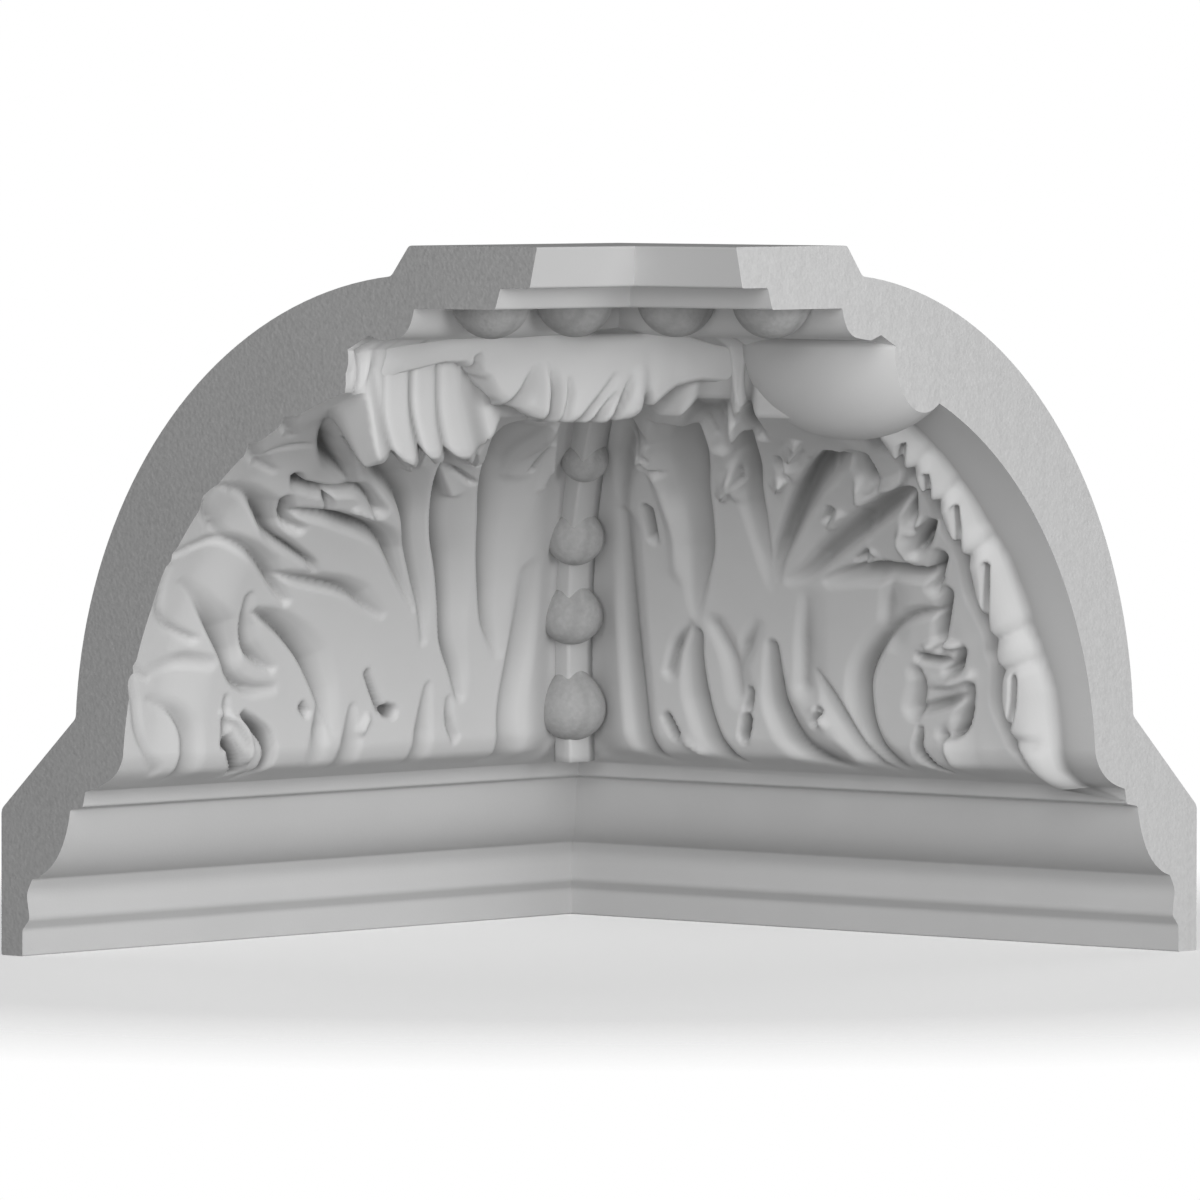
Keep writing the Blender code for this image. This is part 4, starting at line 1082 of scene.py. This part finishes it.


# Finishes: the primer's greys, the greys of the shade painted into its hollows and of the highlight painted
# on its raised places, and how strongly and up to what share each is painted; for each sawn end its two
# greys and the depth of the saw marks. A roughness has its least and its spread.

PRIMER = (0.60, 0.64)
PRIMER_SHADOW = 0.16
PAINTED_HIGHLIGHT_GREY = 0.78
SHADOW_GAIN = (0.16, 0.8)
PAINTED_HIGHLIGHT_GAIN = (-0.04, 0.08)
PRIMER_ROUGHNESS = (0.52, 0.1)
PRIMER_SHEEN = 0.3
# The x end's greys are darker than the y end's: painted shade for the end turned from the main light
SAWN_FOAM = {"x": (0.31, 0.50, 0.5), "y": (0.53, 0.69, 0.1)}
SAWN_CLOUD = (-0.5, 0.5, 0.2)
SAWN_MARK = {"strength": 0.5, "darker": 0.75, "sharpness": 6.0}
SAWN_ROUGHNESS = (0.78, 0.15)
SAWN_SHEEN = 0.2


def new_finish(name):
    """Empty material with a shader, and its object coordinates in metres."""
    material = bpy.data.materials.new(name)
    material.use_nodes = True
    tree = Tree(material.node_tree)
    shader = material.node_tree.nodes["Principled BSDF"]
    place_on = tree.add("ShaderNodeTexCoord")["Object"]
    return material, tree, shader, place_on


def grey_mix(tree, factor, first, second):
    """Grey between two greys."""
    first, second = (grey if isinstance(grey, Value) else (grey, grey, grey, 1.0)
                     for grey in (first, second))
    colours = {6: first, 7: second, 0: factor}
    return tree.add("ShaderNodeMix", colours, data_type="RGBA")[2]


def link(tree, value, shader, name):
    """Feed a socket of the shader."""
    tree.tree.links.new(value.socket, shader.inputs[name])


def noise(tree, place_on, scale, detail=2.0):
    """Cloudy noise between 0 and 1."""
    return tree.add("ShaderNodeTexNoise", {"Vector": place_on, "Scale": scale, "Detail": detail})["Fac"]


def roughness(tree, pattern, shader, least, spread):
    """Roughness that follows a pattern between 0 and 1."""
    link(tree, least + pattern * spread, shader, "Roughness")


def relief(tree, raised, shader, strength, distance):
    """Small relief of the surface."""
    values = {"Strength": strength, "Distance": distance, "Height": raised}
    link(tree, tree.add("ShaderNodeBump", values)["Normal"], shader, "Normal")


def primed_face():
    """Smooth primer on the cast face: even grey, with shade painted into the hollows and a highlight
    painted on raised places, and a faint tooth.
    """
    material, tree, shader, place_on = new_finish("primed_face")
    cloud = noise(tree, place_on, scale=22.0, detail=3.0)
    tooth = noise(tree, place_on, scale=900.0)
    hollow = tree.add("ShaderNodeAttribute", attribute_name="hollow")["Fac"]
    shadow, light = ((hollow * gain).math("MAXIMUM", 0.0).math("MINIMUM", most)
                     for gain, most in (SHADOW_GAIN, PAINTED_HIGHLIGHT_GAIN))
    grey = grey_mix(tree, cloud, *PRIMER)
    # Painted shade: the hollows are made darker by their depth
    grey = grey_mix(tree, shadow, grey, PRIMER_SHADOW)
    # Painted highlight: places raised over their surroundings are made paler
    grey = grey_mix(tree, light, grey, PAINTED_HIGHLIGHT_GREY)
    link(tree, grey, shader, "Base Color")
    roughness(tree, cloud, shader, *PRIMER_ROUGHNESS)
    relief(tree, tooth * 0.7 + cloud * 0.3, shader, strength=0.12, distance=0.0004)
    shader.inputs["Specular IOR Level"].default_value = PRIMER_SHEEN
    return material


def sawn_foam(wing):
    """End cut with a saw: fine open cells and the marks of the blade."""
    dark, pale, saw_depth = SAWN_FOAM[wing]
    material, tree, shader, place_on = new_finish("sawn_end_" + wing)
    cells = tree.add("ShaderNodeTexVoronoi", {"Vector": place_on, "Scale": 620.0})["Distance"]
    speckle = noise(tree, place_on, scale=420.0, detail=4.0)
    cloud = noise(tree, place_on, scale=14.0, detail=3.0)
    wave = {"Vector": place_on, "Scale": 22.0, "Distortion": 1.2, "Detail": 2.0, "Detail Scale": 1.5}
    marks = tree.add("ShaderNodeTexWave", wave, bands_direction="X")["Fac"]
    scratch = marks.math("POWER", SAWN_MARK["sharpness"]) * saw_depth
    middle, gain, shift = SAWN_CLOUD
    grey = grey_mix(tree, speckle, dark, pale)
    grey = grey_mix(tree, (cloud + middle) * gain + shift, grey, pale)
    grey = grey_mix(tree, scratch * SAWN_MARK["strength"], grey, dark * SAWN_MARK["darker"])
    link(tree, grey, shader, "Base Color")
    roughness(tree, speckle, shader, *SAWN_ROUGHNESS)
    relief(tree, cells * 0.5 + speckle * 0.6 - scratch, shader, strength=0.5, distance=0.0006)
    shader.inputs["Specular IOR Level"].default_value = SAWN_SHEEN
    return material


# Making the piece

primer = primed_face()
finishes = [primer, sawn_foam("x"), sawn_foam("y")]
casting = Casting()
sweep(casting)
for part in soffit_beads(primer) + [string_beads(primer), string_neck(), lobe("x"), lobe("y"), hood()]:
    casting.join(part)
moulding = new_object("cast_moulding", casting.mesh("cast_moulding"))
for finish in finishes:
    moulding.data.materials.append(finish)
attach(moulding, "root")
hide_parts("corner_moulding")


# The stage. The floor is part see-through, and more so with the distance from its middle. The lights: turn
# from the camera's side, rise, size and power. The camera: its turn, rise and roll, its place and its lens,
# and the level way from the piece to it.

FLOOR_GREY = (0.90, 0.92)
FLOOR_RADIUS = 0.95
FLOOR_FADE = (-2.0, 1.24)
FLOOR_MOST = 0.5
FLOOR_ROUGHNESS = 0.9
FLOOR_SHEEN = 0.1
WORLD_LIGHT = 0.08
LIGHT_DISTANCE = 2.6
LIGHT_AIM = (0.0, 0.0, 0.15)
LIGHTS = {"key_light": (45.0, 6.0, 1.3, 28.0), "fill_light": (-6.0, 4.0, 1.3, 22.0),
          "upper_light": (-3.0, 25.0, 1.3, 17.0), "rear_light_x": (140.0, 30.0, 1.6, 11.0),
          "rear_light_y": (-140.0, 30.0, 1.6, 8.0)}
CAMERA_ANGLES = (41.253, -2.453, 0.080)
CAMERA_PLACE = (3.8165, 3.3464, 0.36865)
CAMERA_LENS = 356.16
CAMERA_SIDE = (0.7518, 0.6594)


def floor():
    """Plain pale floor that fades out into the white surroundings."""
    mesh = bmesh.new()
    bmesh.ops.create_circle(mesh, cap_ends=True, segments=96, radius=FLOOR_RADIUS)
    data = bpy.data.meshes.new("floor")
    mesh.to_mesh(data)
    mesh.free()
    thing = new_object("floor", data)
    material, tree, shader, place_on = new_finish("floor_paper")
    cloud = noise(tree, place_on, scale=3.0)
    link(tree, grey_mix(tree, cloud, *FLOOR_GREY), shader, "Base Color")
    far = tree.add("ShaderNodeVectorMath", {0: place_on}, operation="LENGTH")["Value"]
    solid_part = far * FLOOR_FADE[0] + FLOOR_FADE[1]
    link(tree, solid_part.math("MINIMUM", FLOOR_MOST).math("MAXIMUM", 0.0), shader, "Alpha")
    shader.inputs["Roughness"].default_value = FLOOR_ROUGHNESS
    shader.inputs["Specular IOR Level"].default_value = FLOOR_SHEEN
    data.materials.append(material)


def soft_light(name, turn, rise, size, power):
    """Large soft area light that looks at the moulding."""
    turn, rise = math.radians(turn), math.radians(rise)
    ahead, beside = CAMERA_SIDE
    toward = Vector((ahead, beside, 0.0)) * math.cos(turn) + Vector((-beside, ahead, 0.0)) * math.sin(turn)
    direction = toward * math.cos(rise) + Vector((0.0, 0.0, 1.0)) * math.sin(rise)
    lamp = bpy.data.lights.new(name, "AREA")
    lamp.shape = "DISK"
    lamp.size = size
    lamp.energy = power
    thing = new_object(name, lamp)
    direction = direction.normalized()
    thing.location = direction * LIGHT_DISTANCE + Vector(LIGHT_AIM)
    thing.rotation_mode = "QUATERNION"
    thing.rotation_quaternion = direction.to_track_quat("Z", "Y")


def camera():
    """Camera at the photograph's place."""
    azimuth, elevation, roll = (math.radians(angle) for angle in CAMERA_ANGLES)
    forward = Vector((-math.cos(azimuth) * math.cos(elevation), -math.sin(azimuth) * math.cos(elevation),
                      math.sin(elevation)))
    level = forward.cross(Vector((0.0, 0.0, 1.0))).normalized()
    upward = level.cross(forward)
    right = level * math.cos(roll) + upward * math.sin(roll)
    up = upward * math.cos(roll) - level * math.sin(roll)
    lens = bpy.data.cameras.new("camera")
    lens.lens = CAMERA_LENS
    lens.sensor_width = 36.0
    thing = new_object("camera", lens)
    turn = Matrix((right, up, -forward)).transposed().to_4x4()
    thing.matrix_world = Matrix.Translation(CAMERA_PLACE) @ turn
    bpy.context.scene.camera = thing


def studio():
    """Surroundings that look white and light the piece only faintly."""
    world = bpy.data.worlds.new("studio")
    bpy.context.scene.world = world
    world.use_nodes = True
    tree = Tree(world.node_tree)
    seen = tree.add("ShaderNodeLightPath")["Is Camera Ray"]
    background = world.node_tree.nodes["Background"]
    background.inputs["Color"].default_value = (1.0, 1.0, 1.0, 1.0)
    link(tree, WORLD_LIGHT + seen * (1.0 - WORLD_LIGHT), background, "Strength")


floor()
for name, values in LIGHTS.items():
    soft_light(name, *values)
studio()
camera()
bpy.context.scene.view_settings.view_transform = "Standard"
